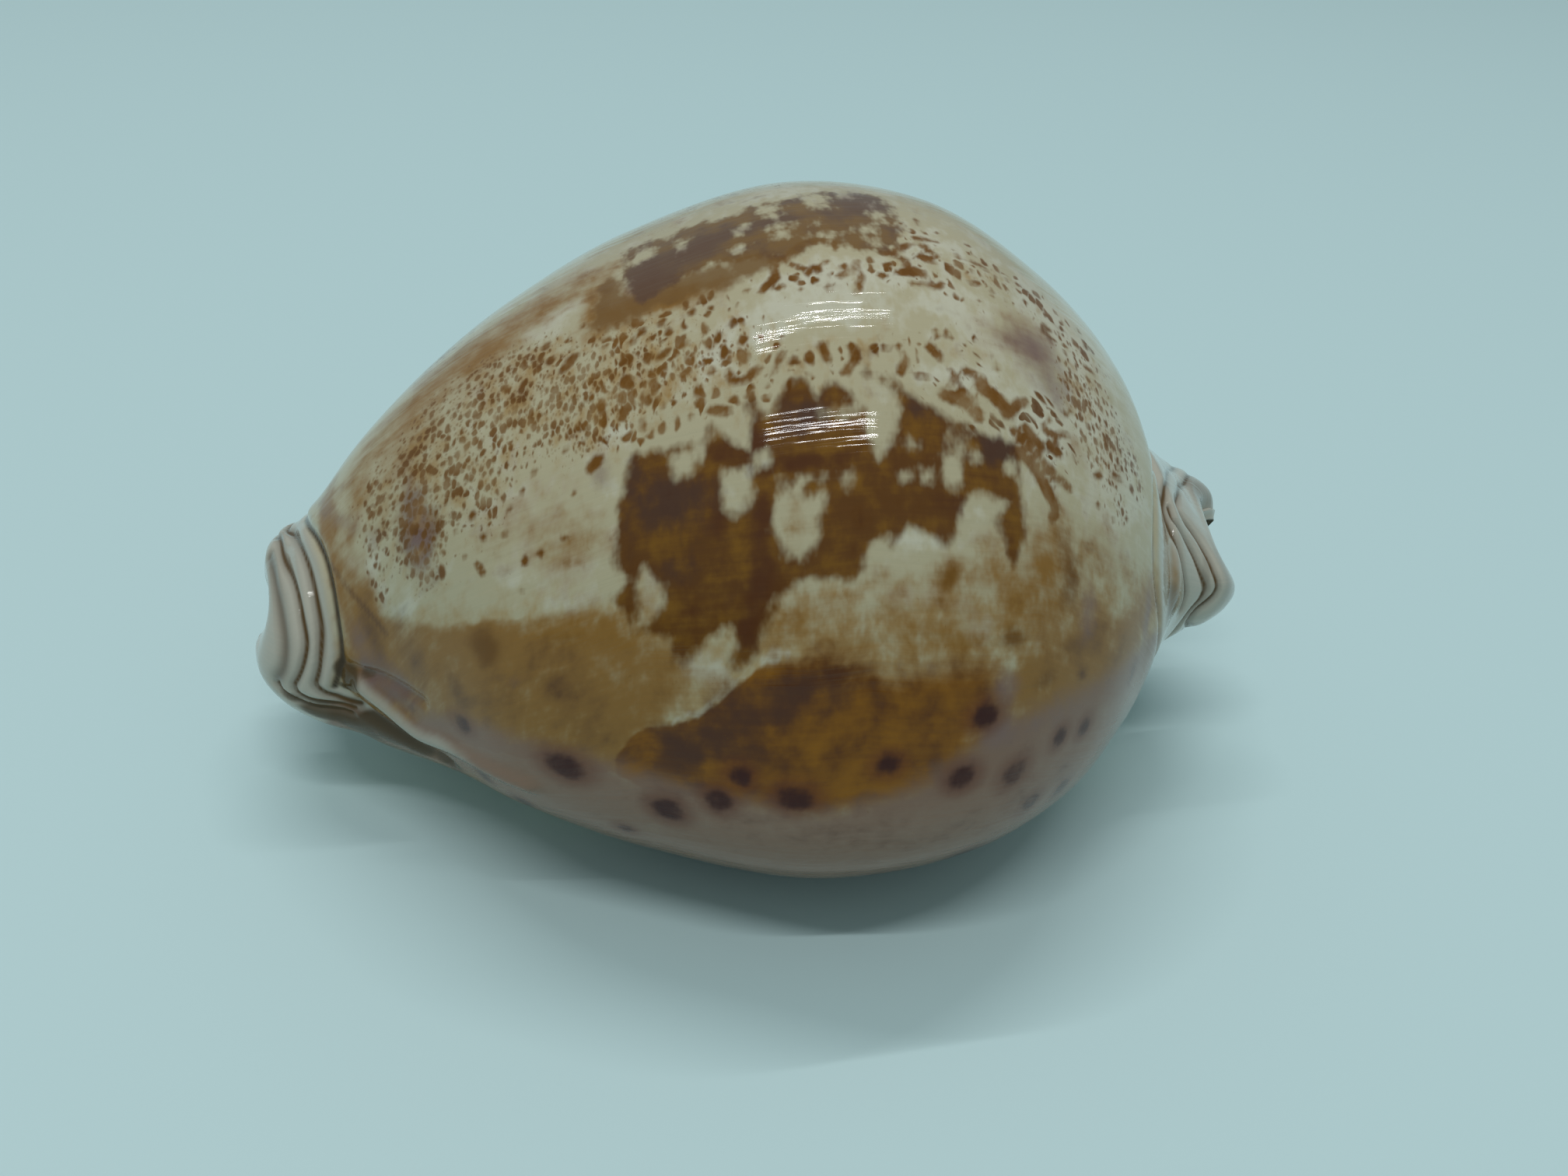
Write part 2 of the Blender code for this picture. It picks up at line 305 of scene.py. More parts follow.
def patch(outline, reach=6.0):
    """Signed distance to the edge of a patch in millimetres, positive inside it."""
    edge = curve(outline + outline[:2], steps=1)
    inside = np.zeros(len(u), bool)
    for (u0, t0), (u1, t1) in zip(edge[:-1], edge[1:]):
        crosses = (t0 > t) != (t1 > t)
        if t0 != t1:
            inside ^= crosses & (u < u0 + (t - t0) * (u1 - u0) / (t1 - t0))
    away = line_distance(edge, reach)
    return np.where(inside, away, -away)


def cloud(x, turn, half_length, half_girth, on_flange=False):
    """Distance from the middle of an oval as a share of its half widths: 1 on its edge."""
    at = np.array([x if on_flange else section_of(x)], float)
    turn = np.array([turn / 1000])
    along = (skin(at + 0.05, turn) - skin(at - 0.05, turn))[0]
    girth = (skin(at, turn + 0.005) - skin(at, turn - 0.005))[0]
    along /= np.linalg.norm(along)
    girth -= along * (girth @ along)
    girth /= np.linalg.norm(girth)
    axes = np.transpose((along, girth, np.cross(along, girth)))
    halves = np.array((half_length, half_girth, 2 * max(half_length, half_girth))) / 10
    away = (skin_mm - skin(at, turn)[0]) @ axes / halves
    return np.where(outside, np.linalg.norm(away, axis=1), 9)


def soft(value, low, high):
    share = np.clip((value - low) / (high - low), 0, 1)
    return share * share * (3 - 2 * share)


def clouds(table):
    """Several soft ovals run together."""
    clear = np.ones(len(u))
    for *oval, strength in table:
        clear *= 1 - strength / 10 * np.exp(-0.8 * cloud(*oval) ** 2)
    return 1 - clear


# The flanges' relief. Thin dark lines lie in grooves between rounded bands, a deep groove parts
# each flange from the body, and under the front one a fold of glaze turns back over a hollow.
FRONT_GROOVES = (
    (2.4, 930, 2.5, 880, 2.8, 820, 3.2, 760, 3.3, 700, 3, 650, 2.6, 600, 2.4, 560, 2.4, 530, 2.8, 510,
     3.2, 480, 3.6, 455, 4.35, 417, 4.7, 385, 4.8, 350, 4.75, 325, 4.45, 302, 4, 276, 3.7, 256,
     3.75, 240, 4.2, 230, 4.9, 228, 5.6, 235),
    (3, 930, 3.3, 880, 3.8, 820, 4.2, 760, 4.3, 700, 4, 650, 3.6, 600, 3.2, 560, 3.3, 530, 3.9, 505,
     4.6, 472, 5.15, 440, 5.5, 410, 5.62, 380, 5.6, 345, 5.4, 320, 5.1, 297, 4.8, 277, 4.6, 262,
     4.75, 248, 5.2, 242, 5.8, 246),
    (2.9, 242, 3.2, 226, 3.8, 217, 4.6, 214, 5.4, 219),
)
FRONT_CREASE = (
    4, 940, 4.7, 880, 5.3, 820, 5.7, 760, 5.7, 700, 5.4, 650, 5, 600, 4.8, 550, 4.9, 510, 5.35, 480,
    5.8, 450, 6.1, 415, 6.2, 380, 6.15, 345, 6, 313, 5.7, 290, 5.25, 262, 4.9, 235, 4.6, 190, 4.2, 150,
    3.6, 115, 3.2, 100,
)
BACK_GROOVES = (
    (17.6, 890, 17.9, 840, 18.3, 790, 18.8, 740, 19.2, 690, 19.3, 640, 19.2, 600, 18.9, 560, 18.5, 535,
     17.8, 505, 17, 475, 16.3, 445, 15.7, 425, 15.35, 405, 15.55, 377, 15.95, 352, 16.35, 322,
     16.75, 290, 17, 262, 17.05, 235),
    (15.75, 405, 15.9, 388, 16.45, 370, 17, 352, 17.5, 330, 17.95, 297, 18.2, 262, 18.12, 237,
     17.8, 218, 17.6, 195, 17.4, 160, 17.1, 140),
    (18.3, 890, 18.6, 840, 19, 790, 19.5, 740, 19.9, 690, 20, 640, 19.85, 600, 19.7, 565, 19.4, 530,
     19, 510, 18.4, 484, 17.6, 455, 16.95, 430, 16.6, 410, 16.95, 393, 17.5, 380, 18.05, 363, 18.5, 338,
     18.7, 300, 18.78, 265, 18.7, 242, 18.4, 224, 18.1, 208, 18, 180, 18.3, 140, 18.6, 100, 18.4, 70,
     17.8, 60),
)
BACK_CREASE = (
    15.6, 900, 15.3, 800, 15, 700, 15, 600, 15.1, 500, 14.7, 440, 14.25, 400, 14.05, 365, 13.98, 334,
    14.1, 310, 14.45, 283, 14.95, 240, 15.5, 190, 16, 150, 16.1, 110, 16.2, 80, 16.1, 50,
)
groove_lines = [line_distance(curve(line, True)) for line in FRONT_GROOVES + BACK_GROOVES]
thin_line = np.min(groove_lines, axis=0)
crease_line = np.minimum(
    line_distance(curve(FRONT_CREASE[:34], True)), line_distance(curve(BACK_CREASE, True)) + 0.14
)
front_hollow = line_distance(curve((2.3, 468, 2.95, 411, 3.45, 369, 3.65, 330, 3.45, 290,
    3, 257), True))
fold_line = line_distance(curve((-25.4, 280, -24.2, 264, -23.2, 248, -22.2, 228, -20.4, 213, -18, 204,
    -15, 200)))
above_fold = line_distance(curve((-26, 302, -25, 295, -23.7, 288, -22.6, 278, -21.4, 262)))
hollow_line = line_distance(curve((5.6, 262, 6.1, 246, 6.5, 225, 7, 195, 7.6, 175), True))
gutter_line = line_distance(curve((2.4, 50, 3.5, 60, 4.5, 80, 5.5, 85, 6.2, 80), True))


def bump(away, width):
    return np.exp(-(away / width) ** 2)


# Grooves and creases sink into the skin, each to its depth over its half width, and the fold of
# glaze stands up. The back flange's lines are shallow on top, and the fold starts off the flange.
line_share = np.where(u > 14, 1 - 0.6 * soft(t, 0.4, 0.45), 1)
fold_share = np.clip((u - 5.5) / 0.8, 0, 1)
sink = np.zeros(len(u))
for away, dip, half_width in (
    (thin_line, 0.24 * line_share, 0.26), (thin_line, 0.12 * line_share, 0.6),
    (crease_line, 0.3, 0.38), (above_fold, 0.25, 0.4), (front_hollow, 0.2, 0.5),
    (hollow_line, 0.5, 0.7), (gutter_line, 0.35, 0.5), (fold_line, -0.45 * fold_share, 0.75),
):
    sink += dip * bump(away, half_width)
off_ground = np.clip(skin_mm[:, 2] - CENTRE[2], 0, 1)
skin_mm -= normals * (sink * outside * off_ground)[:, None]

# The large chestnut blotch of the near side: its leg and its arm in one outline, then a patch that
# hangs from the arm's end. Cream shows through its holes, ovals without a strength, and its gaps.
CHESTNUT = (
    (-9.5, 345, -9.2, 360, -8.7, 374, -8.4, 383, -7, 381.5, -5.2, 383, -4.7, 373, -4.2, 388, -3.4, 383,
     -2.2, 378, -1.9, 388, -2.3, 396, -1.8, 398, -1.1, 389, -0.6, 394, -0.2, 399, 0.8, 401, 1.6, 395,
     2, 399, 2.8, 400, 3.5, 393, 4.1, 387, 4, 378, 4.6, 369.5, 5.2, 374, 5.8, 381, 5.9, 390, 5.5, 396,
     4.3, 401.5, 4.5, 403, 5.8, 399, 7, 393, 8.2, 387, 9.6, 383.5, 11.4, 379, 12.8, 378, 12.9, 369.5,
     13, 361, 12.7, 354, 12, 355, 11, 357, 10, 359, 9.2, 353, 8.8, 345, 8.1, 340, 7.2, 345, 6.2, 348,
     5.6, 344, 5.1, 340, 5, 345, 4, 341, 3.7, 334, 2.7, 330, 1.2, 331, 0, 329, -1, 323.5, -1.6, 315,
     -2, 305.5, -2.9, 298, -3.5, 295.5, -3.3, 304, -3.5, 313, -4.2, 309.5, -5, 304, -6, 296, -6.6, 297,
     -6.7, 307, -7.9, 308, -8, 310, -6.8, 320, -7, 327.5, -8, 335, -8.4, 328, -8.3, 318.5, -8.8, 308.7,
     -9.1, 318.5, -9.7, 322, -9, 330, -9.6, 336.5),
    (11.1, 349, 12, 358, 12.9, 355, 13.1, 343, 12.6, 338, 12.3, 333, 11.8, 337, 11.9, 343),
)
CHESTNUT_HOLES = (
    (-5.7, 374.5, 6.5, 7.5), (-1.5, 373, 4, 5), (3.1, 363.7, 3.5, 4), (6.4, 376, 3.5, 4),
    (7.3, 364.5, 2.5, 3), (6, 364.5, 2, 2), (8.8, 367.5, 5, 8.5), (9.2, 374, 4, 8),
    (12.3, 368.7, 3, 3.5), (10.1, 371, 3, 3), (0.5, 364.5, 5, 2), (2.9, 388, 6, 3),
)
CHESTNUT_GAPS = (
    (-3.7, 371, -2.2, 369.5, -2, 360.5, -3, 353, -3.7, 356.5),
    (-1, 356.5, -0.7, 360.5, -0.2, 361.2, 0.1, 364, 0.4, 362.2, 0.5, 358, 0.9, 357, 1.4, 359.5,
     1.5, 354.5, 1.1, 350, 1.3, 345, 0.8, 341, 0.2, 336.5, -0.4, 338.5, -1, 345),
)
# The dark blotch on top of the back, pierced like the chestnut one.
UMBER = (
    (-8.6, 493.6, -8.4, 503, -8, 513, -6, 511, -5.4, 504.5, -4.6, 507.5, -3.2, 508, -2.8, 503.5,
     -1, 504, -0.8, 506.5, 0.4, 505.5, 2.2, 505.5, 2.6, 509, 3.2, 508, 4.1, 511, 4.8, 510, 5.1, 503,
     5.7, 503, 6, 511, 7.8, 511, 7.9, 499, 8.2, 479, 7.7, 470.5, 7, 460, 6, 459, 4.8, 460, 3.6, 463,
     2, 461.8, 1.2, 456, 0.4, 460, -1.6, 463, -2.8, 464.7, -3.6, 467.6, -5.2, 464.7, -6, 460, -7.4, 460,
     -8, 461.8, -8.3, 479),
)
UMBER_HOLES = (
    (-7.1, 498, 7, 10), (-4.9, 493.6, 3.5, 8), (-1.4, 486, 6, 6), (0.6, 496.5, 6.5, 11),
    (3.5, 502, 7.5, 15), (6.8, 490.7, 2, 7), (6, 473, 5, 4), (6.3, 464.7, 4, 3.5), (0.8, 481, 4, 2),
    (0.8, 474, 5, 3), (3, 478.5, 2.5, 2.5), (-1.7, 471, 3, 2), (3, 470, 5, 3),
)
# Flecks round the blotches: half width in hundredths, then x and t of its place or its bends.
FLECKS = (
    (25, -3.9, 410.5), (25, -3, 408.5, -2.8, 404, -2.2, 404, -1.4, 407.5), (20, -1.1, 400),
    (22, -0.6, 404.5, -0.4, 409, 0, 412.5), (28, 0.5, 408.5), (28, 2.2, 413.5, 2.3, 407.5),
    (28, 3.7, 412.5, 3.8, 407.5, 3.2, 402), (22, 5.6, 411.5), (25, 6.4, 412.5, 6.7, 407.5, 6.3, 402),
    (18, 7.2, 401.2, 7.8, 400.5), (35, 8.2, 413, 8.7, 408.5), (20, 9.2, 404.5, 9.5, 401),
    (20, 8.7, 420.5, 8.8, 418), (25, 9.4, 420.5, 9.5, 418.5), (48, 8.7, 394, 9.6, 392.5, 10.6, 387.5),
    (20, 9.2, 399, 10.6, 392.5), (48, 11, 399, 12, 394, 12.6, 391),
    (38, 12.4, 389, 13.2, 394, 13.8, 396), (38, 13.6, 385, 14.4, 379),
    (46, 12.9, 375, 13.8, 371, 14.4, 365, 14.8, 359.5, 15.2, 355, 15, 351.5),
    (40, 14.6, 371, 15.4, 368, 16.3, 363.7), (36, 15.2, 380, 15.8, 377.5), (25, 15.4, 391.7),
    (34, 12.8, 383, 13.6, 378, 14.6, 372.5), (28, 10.2, 405, 11.2, 402), (25, 16.8, 397),
    (30, 14.9, 387, 15.6, 384.5), (22, 16.7, 387), (28, 12.2, 408.5), (15, 12, 414), (30, 6.1, 445),
    (22, 7.2, 448, 8.6, 447.5), (20, 7.8, 442, 9, 443.5), (22, 4.6, 440, 4.4, 436), (22, 2.9, 438.5),
    (20, 1.3, 439.5), (28, 0.2, 442.5), (28, -0.8, 442), (30, -1.7, 444.5), (25, 12.9, 445),
    (20, 12, 440), (35, -10.3, 382.5, -10.8, 380), (22, -11.8, 369.5), (22, -5.2, 393),
    (25, -7.8, 395.5, -7.8, 392), (22, -6.6, 400), (25, -6.7, 423, -6.2, 425.5),
    (35, -4, 394, -3.3, 392.5), (28, 0, 460, 0.8, 459, 1.8, 464.7, 3, 466, 3.7, 464, 3.7, 460),
    (25, 0.6, 456, 1.6, 450, 1.9, 447.5), (25, 0, 459, 0.1, 449, -0.6, 444.5), (33, 2.4, 449.5),
    (22, 3, 453), (25, 4, 450.3, 4.1, 446, 3.6, 444.5), (22, 4.8, 453, 4.7, 448.5),
    (20, 4.9, 444.5, 4.5, 437.2), (30, 6.4, 459, 7.6, 456, 7.8, 448.8, 7.2, 448),
    (28, 7.8, 451.7, 8.7, 448.8), (25, 7.2, 460.4, 8.2, 466), (35, 8.9, 459, 9.4, 456.7),
    (30, 9, 467.6, 9.8, 461.8), (20, 8.8, 472, 10.2, 472.5), (20, 9.4, 489, 9.4, 483.5),
    (30, 11.3, 464.7), (28, 12.2, 464.7, 13.1, 462.5), (28, 14.6, 462.5), (22, 15.4, 464),
    (22, 12, 457.5), (25, 11.6, 448.8, 12.2, 450), (20, 13.9, 446),
    (22, 7.8, 443, 8.4, 441.6, 9.4, 442.3, 9.7, 445.2), (20, 10.5, 480), (20, 12.4, 477.7),
    (30, -7.6, 440.1), (30, -8.2, 436), (25, -6.4, 441.6), (28, -6.1, 434.4), (25, -4.7, 441.6),
    (22, -9.7, 439.4), (40, -11.6, 440, -12.2, 436.5), (35, -13, 446), (35, -13.3, 457.5),
    (28, -11, 459), (25, 17.2, 399), (25, 18.5, 395), (25, 19, 373, 18.6, 372),
    (22, 20.2, 375, 20.8, 373), (28, 21.7, 370), (22, 18.6, 358), (20, 21, 353), (20, 19.8, 352),
    (18, 16.4, 443, 17, 443), (15, 16.4, 438.5, 17.2, 437), (28, 18.2, 462.5), (28, 20, 462),
    (25, 19.4, 432, 20, 431), (20, 17.8, 433), (22, 16, 386, 16.6, 387), (22, -12.4, 351),
    (22, -13.7, 345), (22, -14.6, 342.5), (22, -14.8, 328), (25, -15.7, 357.5),
    (25, -17.2, 345, -16.9, 340), (25, -19, 348, -19, 342.5), (22, -14.7, 377.5), (25, -14, 385.5),
    (22, -12.2, 391.5), (25, -18.2, 365.5), (25, -17.3, 372), (22, -16.8, 358), (25, -15.4, 370.5),
    (22, -17.8, 350),
)
fleck = np.full(len(u), -6.0)
for half_width, *bends in FLECKS:
    bends = bends * 2 if len(bends) == 2 else bends
    bends[-2] += 0.02  # so that a round fleck has some length
    away = line_distance(curve(bends, steps=4 if len(bends) > 4 else 1), reach=1.5)
    fleck = np.maximum(fleck, half_width / 100 - away)


def blotch(patches, holes=(), gaps=()):
    """Signed distance to the edge of patches pierced by ovals and gaps, positive inside."""
    found = np.max([patch(outline) for outline in patches], axis=0)
    for hole in holes:
        found = np.minimum(found, (cloud(*hole) - 1) * min(hole[2:]) / 10)
    for outline in gaps:
        found = np.minimum(found, -patch(outline))
    return found


# The far side's own blotches, of the same make as the near side's.
FAR_CHESTNUT = (
    (-7, 630, -6, 642, -4.5, 655, -3.2, 649, -2.5, 662, -1, 656, 0.3, 668, 1.6, 658, 2.4, 673, 3.5, 688,
     4.6, 684, 5, 672, 6.2, 676, 7, 690, 8.5, 699, 9.6, 688, 9.9, 672, 11, 664, 12.5, 667, 13.8, 650,
     13.2, 636, 11.6, 632, 11.2, 620, 9.4, 612, 7.8, 620, 6.4, 607, 4.6, 611, 3, 602, 1.2, 611,
     -0.6, 604, -2.2, 613, -4, 607, -5.2, 619),
    (-17, 600, -15.5, 612, -13.8, 608, -12.9, 595, -13.9, 583, -15.2, 588, -16.4, 584),
)
FAR_HOLES = (
    (-3.4, 632, 6, 7), (0.6, 640, 6, 11), (3.4, 636, 3.5, 4), (5.6, 651, 5, 8), (8.2, 636, 4, 7),
    (10.8, 648, 3.5, 5), (7.4, 672, 3.5, 4), (-1.2, 624, 3, 3), (-15, 600, 3.5, 4),
)
GOLD = (
    (-9.8, 246, -8.8, 261, -8, 266, -6.6, 269, -5, 276, -4, 283.5, -3, 291.5, -2, 299, 0, 303, 1.2, 306,
     2.8, 303, 5, 297, 8, 300, 11.4, 298, 11, 282, 10.4, 267, 8.5, 253, 6, 248, 2, 242, -1, 237,
     -4, 234, -6.4, 231, -8.4, 230, -9.8, 235),
    (-4, 752, -2.6, 735, -0.5, 727, 1.5, 716, 4, 712, 7, 703, 10.5, 706, 12.8, 718, 12, 738, 8, 750,
     3, 757, -1, 760),
)
TAN_BAND = (
    (-27, 350, -24, 340, -21.5, 325, -19.5, 313, -17, 314, -14, 316.5, -11, 318.5, -6, 321, -5, 240,
     -27, 200),
    (-24, 660, -20, 684, -15, 688, -9, 682, -6, 680, -5, 770, -24, 780),
)
chestnut = np.maximum(blotch(CHESTNUT, CHESTNUT_HOLES, CHESTNUT_GAPS),
                      blotch(FAR_CHESTNUT, FAR_HOLES))
# It is reddest down its leg, and purplish at its front end and along its top.
russet = clouds((
    (-1.9, 378, 10, 13, 10), (-1.6, 353, 8, 18, 10), (-1.9, 330, 9, 18, 10), (-2.6, 310, 8, 12, 10),
    (-3.4, 377, 10, 8, 9), (-3.9, 352, 7, 10, 8), (0.4, 371, 14, 7, 9), (2.6, 372, 12, 6, 7),
    (-5.6, 316, 10, 8, 6), (-3.8, 334, 9, 9, 6), (9, 356, 16, 7, 7), (5.2, 366, 9, 8, 6),
    (4, 620, 40, 10, 8), (10, 640, 10, 25, 7), (-3, 630, 10, 20, 7),
))
mauve = clouds((
    (-7, 360, 24, 20, 7.5), (-5.2, 362, 16, 15, 4.5), (-8.6, 375, 10, 12, 5), (-6.2, 333, 12, 10, 5),
    (0.8, 386, 20, 11, 9), (11.6, 376, 18, 14, 8), (7.2, 388, 16, 9, 7), (12.4, 345, 8, 12, 4),
    (7, 630, 20, 12, 8), (-5.5, 620, 14, 12, 7),
))
umber = blotch(UMBER, UMBER_HOLES)
# An olive stain spreads from under its front end, and a smaller one from under the far side's.
HALO = (
    (-10.3, 485, -10.5, 473, -10.9, 455, -9.4, 446, -7.4, 447, -5.2, 448.5, -3.4, 447, -1.4, 448.5,
     -0.1, 452, 0.6, 458, 0, 466, -8, 470, -8.4, 490, -9.4, 493),
    (-9.6, 590, -7.4, 596, -5, 600, -4, 612, -5.8, 618, -8.8, 610),
)
halo = blotch(HALO)
gold_edge = blotch(GOLD)
# The gold patch is sharp only along the seam at its front end. Elsewhere it fades out.
gold_width = 0.2 + 2.2 * soft(x_mm, -2.5, 2.5)
gold_width = np.where(t < 0.26, 0.25 + soft(x_mm, -6, 0), gold_width)
gold = soft(gold_edge / gold_width, -1, 1)

# Soft clouds of tan, sepia, ochre, lilac and white lie over the whole back. The wide tan cloud at
# x -14.5 low on the near side is painted shade, and so is part of the tan of the lower half.
tan_and_shade = clouds((
    (-17.5, 490, 75, 36, 8), (-8.5, 456, 22, 12, 9), (-5, 453, 30, 10, 9), (-10.2, 474, 9, 24, 9),
    (-13, 430, 40, 30, 2.5), (-21, 440, 35, 40, 4.5), (4, 324, 50, 16, 4.5), (8, 308, 50, 12, 6),
    (8.3, 331, 11, 8, 8), (11, 330, 22, 30, 4), (14.8, 330, 24, 36, 8.5), (6, 254, 45, 12, 10),
    (11, 262, 35, 16, 10), (14.5, 285, 24, 16, 10), (16, 272, 40, 18, 10), (20.5, 270, 30, 18, 9),
    (2, 246, 30, 10, 8), (16, 290, 50, 20, 8), (20.5, 290, 30, 20, 7.5), (14.6, 428, 28, 24, 6),
    (16.2, 408, 16, 14, 3), (-8.5, 300, 30, 34, 3.5), (-11.5, 340, 16, 30, 3), (23, 300, 20, 16, 5),
    (-25, 380, 10, 35, 9), (-24, 345, 16, 30, 9.5), (-25.4, 440, 12, 30, 8), (-23.8, 400, 8, 12, 6),
    (-25.2, 490, 10, 30, 5), (-23.2, 340, 12, 22, 7.5), (-23, 450, 16, 25, 5), (20.5, 374, 12, 9, 4),
    (19.5, 335, 24, 24, 5), (17.2, 380, 10, 12, 4), (0.2, 352, 12, 16, 5), (-14.5, 358, 45, 30, 4.2),
    (-0.6, 317, 12, 9, 6), (-12, 500, 40, 20, 5), (-6.5, 415, 20, 16, 3.5), (-1, 310, 30, 12, 3),
    (-5, 290, 30, 10, 4), (-6, 535, 70, 24, 3.5), (12, 540, 60, 30, 4), (-2, 575, 50, 24, 5),
    (-20, 570, 40, 40, 6), (17, 630, 30, 40, 6), (18, 700, 40, 30, 8), (0, 695, 60, 20, 7),
    (-11, 640, 40, 30, 3.5), (-8, 700, 40, 25, 7), (8, 692, 50, 14, 6), (-22.5, 660, 20, 30, 6),
))
tan_band = clouds((
    (-17.5, 290, 40, 30, 10), (-12.5, 292, 40, 26, 10), (-13, 270, 50, 24, 9), (-18.5, 265, 40, 24, 9),
    (-22.5, 300, 25, 30, 10), (-9.2, 277, 16, 16, 5), (-24, 290, 15, 30, 6), (-16, 720, 60, 30, 10),
    (-10, 715, 40, 25, 8), (-21.5, 710, 30, 30, 9),
))
tan_edge = soft(blotch(TAN_BAND), -0.35, 0.6)
tan_and_shade = 1 - (1 - tan_and_shade) * (1 - tan_band * tan_edge)
# Below the blotches the whole skin turns warmer and darker, partly its own tone and partly painted
# shade of the lower half.
from_lip = np.minimum(t, 1 - t)
low_shade = soft(-from_lip, -0.345, -0.3)
low_shade_tan = low_shade * np.interp(x_mm, (-24.0, -10.0, -7.0, -1.0, 4.0, 11.0, 15.0, 24.0),
                              (0.8, 0.8, 0.3, 0.2, 0.25, 0.25, 0.4, 0.25))
low_shade_tan = np.where(x_mm < -8.5, low_shade_tan * tan_edge, low_shade_tan)
tan_and_shade = 1 - (1 - tan_and_shade) * (1 - low_shade_tan)
sepia = clouds((
    (-17, 298, 8, 7, 3), (-19, 270, 9, 14, 6), (-13.2, 300, 18, 7, 2.5), (-16.2, 276, 16, 12, 3),
    (-21.5, 300, 18, 30, 4.5), (-12.8, 284, 26, 18, 4.5), (-23.5, 320, 10, 25, 5),
    (-24.4, 288, 14, 12, 7), (-22.6, 272, 20, 12, 6), (-17, 262, 30, 14, 3), (-11.5, 260, 20, 14, 3.5),
    (12, 306, 6, 4, 3), (14.7, 287, 6, 4, 3), (17.4, 282, 6, 5, 6), (1.6, 296, 15, 9, 8.5),
    (2.4, 290, 10, 7, 5), (0.4, 294, 12, 7, 5), (-5.8, 258, 10, 8, 9.5), (-4.4, 267, 14, 10, 7),
    (-7, 264, 9, 6, 7), (-2.8, 280, 14, 8, 6), (-0.9, 291, 12, 8, 5.5), (-2.5, 262, 18, 12, 3),
    (-6, 245, 24, 10, 3), (16.2, 325, 9, 18, 5), (15.5, 340, 8, 14, 3), (16.5, 296, 26, 10, 4),
    (20.5, 283, 16, 9, 4), (-1, 285, 30, 14, 6), (-4.8, 266, 24, 12, 5), (3, 222, 90, 16, 3.5),
    (-6.5, 255, 12, 10, 5), (8.3, 331, 9, 6, 3), (9, 276, 16, 12, 2), (19.3, 300, 16, 10, 2),
    (-10, 477, 8, 18, 4.5), (-20, 375, 16, 28, 8.5), (14.4, 425, 16, 4, 3), (4, 726, 20, 10, 8),
    (9, 730, 14, 8, 7), (-14, 706, 16, 12, 7), (17, 660, 10, 22, 4.5),
))
ochre = clouds((
    (12.2, 306, 11, 7, 10), (14.7, 287, 10, 7, 9), (8.3, 331, 10, 8, 7), (-17, 298, 13, 11, 10),
    (-19, 272, 10, 14, 6), (-0.4, 318, 8, 6, 4), (16, 326, 11, 16, 6), (8.5, 296, 25, 8, 3),
    (-12.5, 303, 24, 7, 5), (-8.9, 322, 6, 8, 5), (5, 710, 20, 10, 6), (-12, 700, 12, 10, 8),
    (13, 690, 12, 8, 8),
))
streak_line = line_distance(curve((-25.7, 405, -25, 385, -24.2, 360, -23.4, 340, -22.6, 320)))
sepia = np.maximum(sepia, 0.6 * bump(streak_line, 0.4))
dusk_line = line_distance(curve((-26.4, 500, -25.4, 465, -24.5, 435, -23.4, 410, -22.4, 390)))
lilac = clouds((
    (-20, 372, 14, 28, 10), (-20.6, 395, 18, 20, 4), (-24.5, 310, 12, 30, 6), (-22.8, 285, 16, 20, 6),
    (-24.6, 283, 16, 10, 5), (-22.4, 268, 22, 12, 5), (15, 425, 28, 18, 8), (16.2, 407, 18, 14, 7),
    (0.6, 383, 16, 9, 5), (-10.2, 376, 8, 12, 6), (-15.5, 279, 14, 10, 3), (17.6, 310, 9, 18, 6),
    (-7, 475, 14, 22, 10), (-4.2, 482, 18, 12, 8), (0, 486, 35, 7, 6), (6.4, 500, 18, 24, 8),
    (2, 503, 8, 8, 6), (12, 288, 9, 18, 8), (11.6, 270, 12, 12, 7), (15, 268, 30, 10, 5),
    (23.3, 290, 8, 30, 6), (23.8, 340, 5, 30, 5), (-20, 620, 16, 24, 8), (15, 600, 18, 18, 7),
    (6, 630, 20, 12, 7), (-11.5, 560, 18, 12, 6), (8, 575, 20, 12, 6), (22.5, 600, 12, 30, 6),
    (-3, 750, 30, 15, 4),
))
lilac = np.maximum(lilac, 0.4 * bump(dusk_line, 1.0))
# Small specks crowd together in the first of these tables, larger ones in the second, and in the
# third they are drawn out on a slant. All keep clear of the flecks drawn one by one.
freckle = clouds((
    (-19.5, 410, 38, 45, 10), (-16, 420, 30, 35, 8.5), (-11.5, 420, 30, 28, 8), (-20, 365, 20, 24, 9),
    (-22.3, 410, 15, 30, 8), (-16.5, 375, 16, 20, 6), (-6.5, 410, 35, 22, 5.5), (-8.5, 435, 25, 16, 5),
    (-3, 420, 30, 20, 4), (-11, 395, 25, 14, 4.5), (-14, 455, 25, 14, 6), (-17, 465, 35, 16, 4),
    (19.6, 390, 28, 28, 9), (18, 410, 16, 16, 8), (22.4, 380, 10, 20, 6), (19.5, 425, 25, 20, 5),
    (20.5, 355, 15, 10, 5), (17.5, 440, 25, 16, 4.5), (13.5, 460, 25, 14, 3.5), (-22.5, 355, 10, 20, 6),
    (8, 370, 40, 10, 1), (0, 560, 120, 50, 6), (-19, 580, 45, 60, 9), (-12, 630, 50, 40, 8),
    (5, 590, 80, 28, 8), (18.5, 580, 40, 50, 8.5), (14, 660, 50, 30, 6),
))
peppered = freckle.copy()
freckle *= soft(-fleck, 0.05, 0.25)
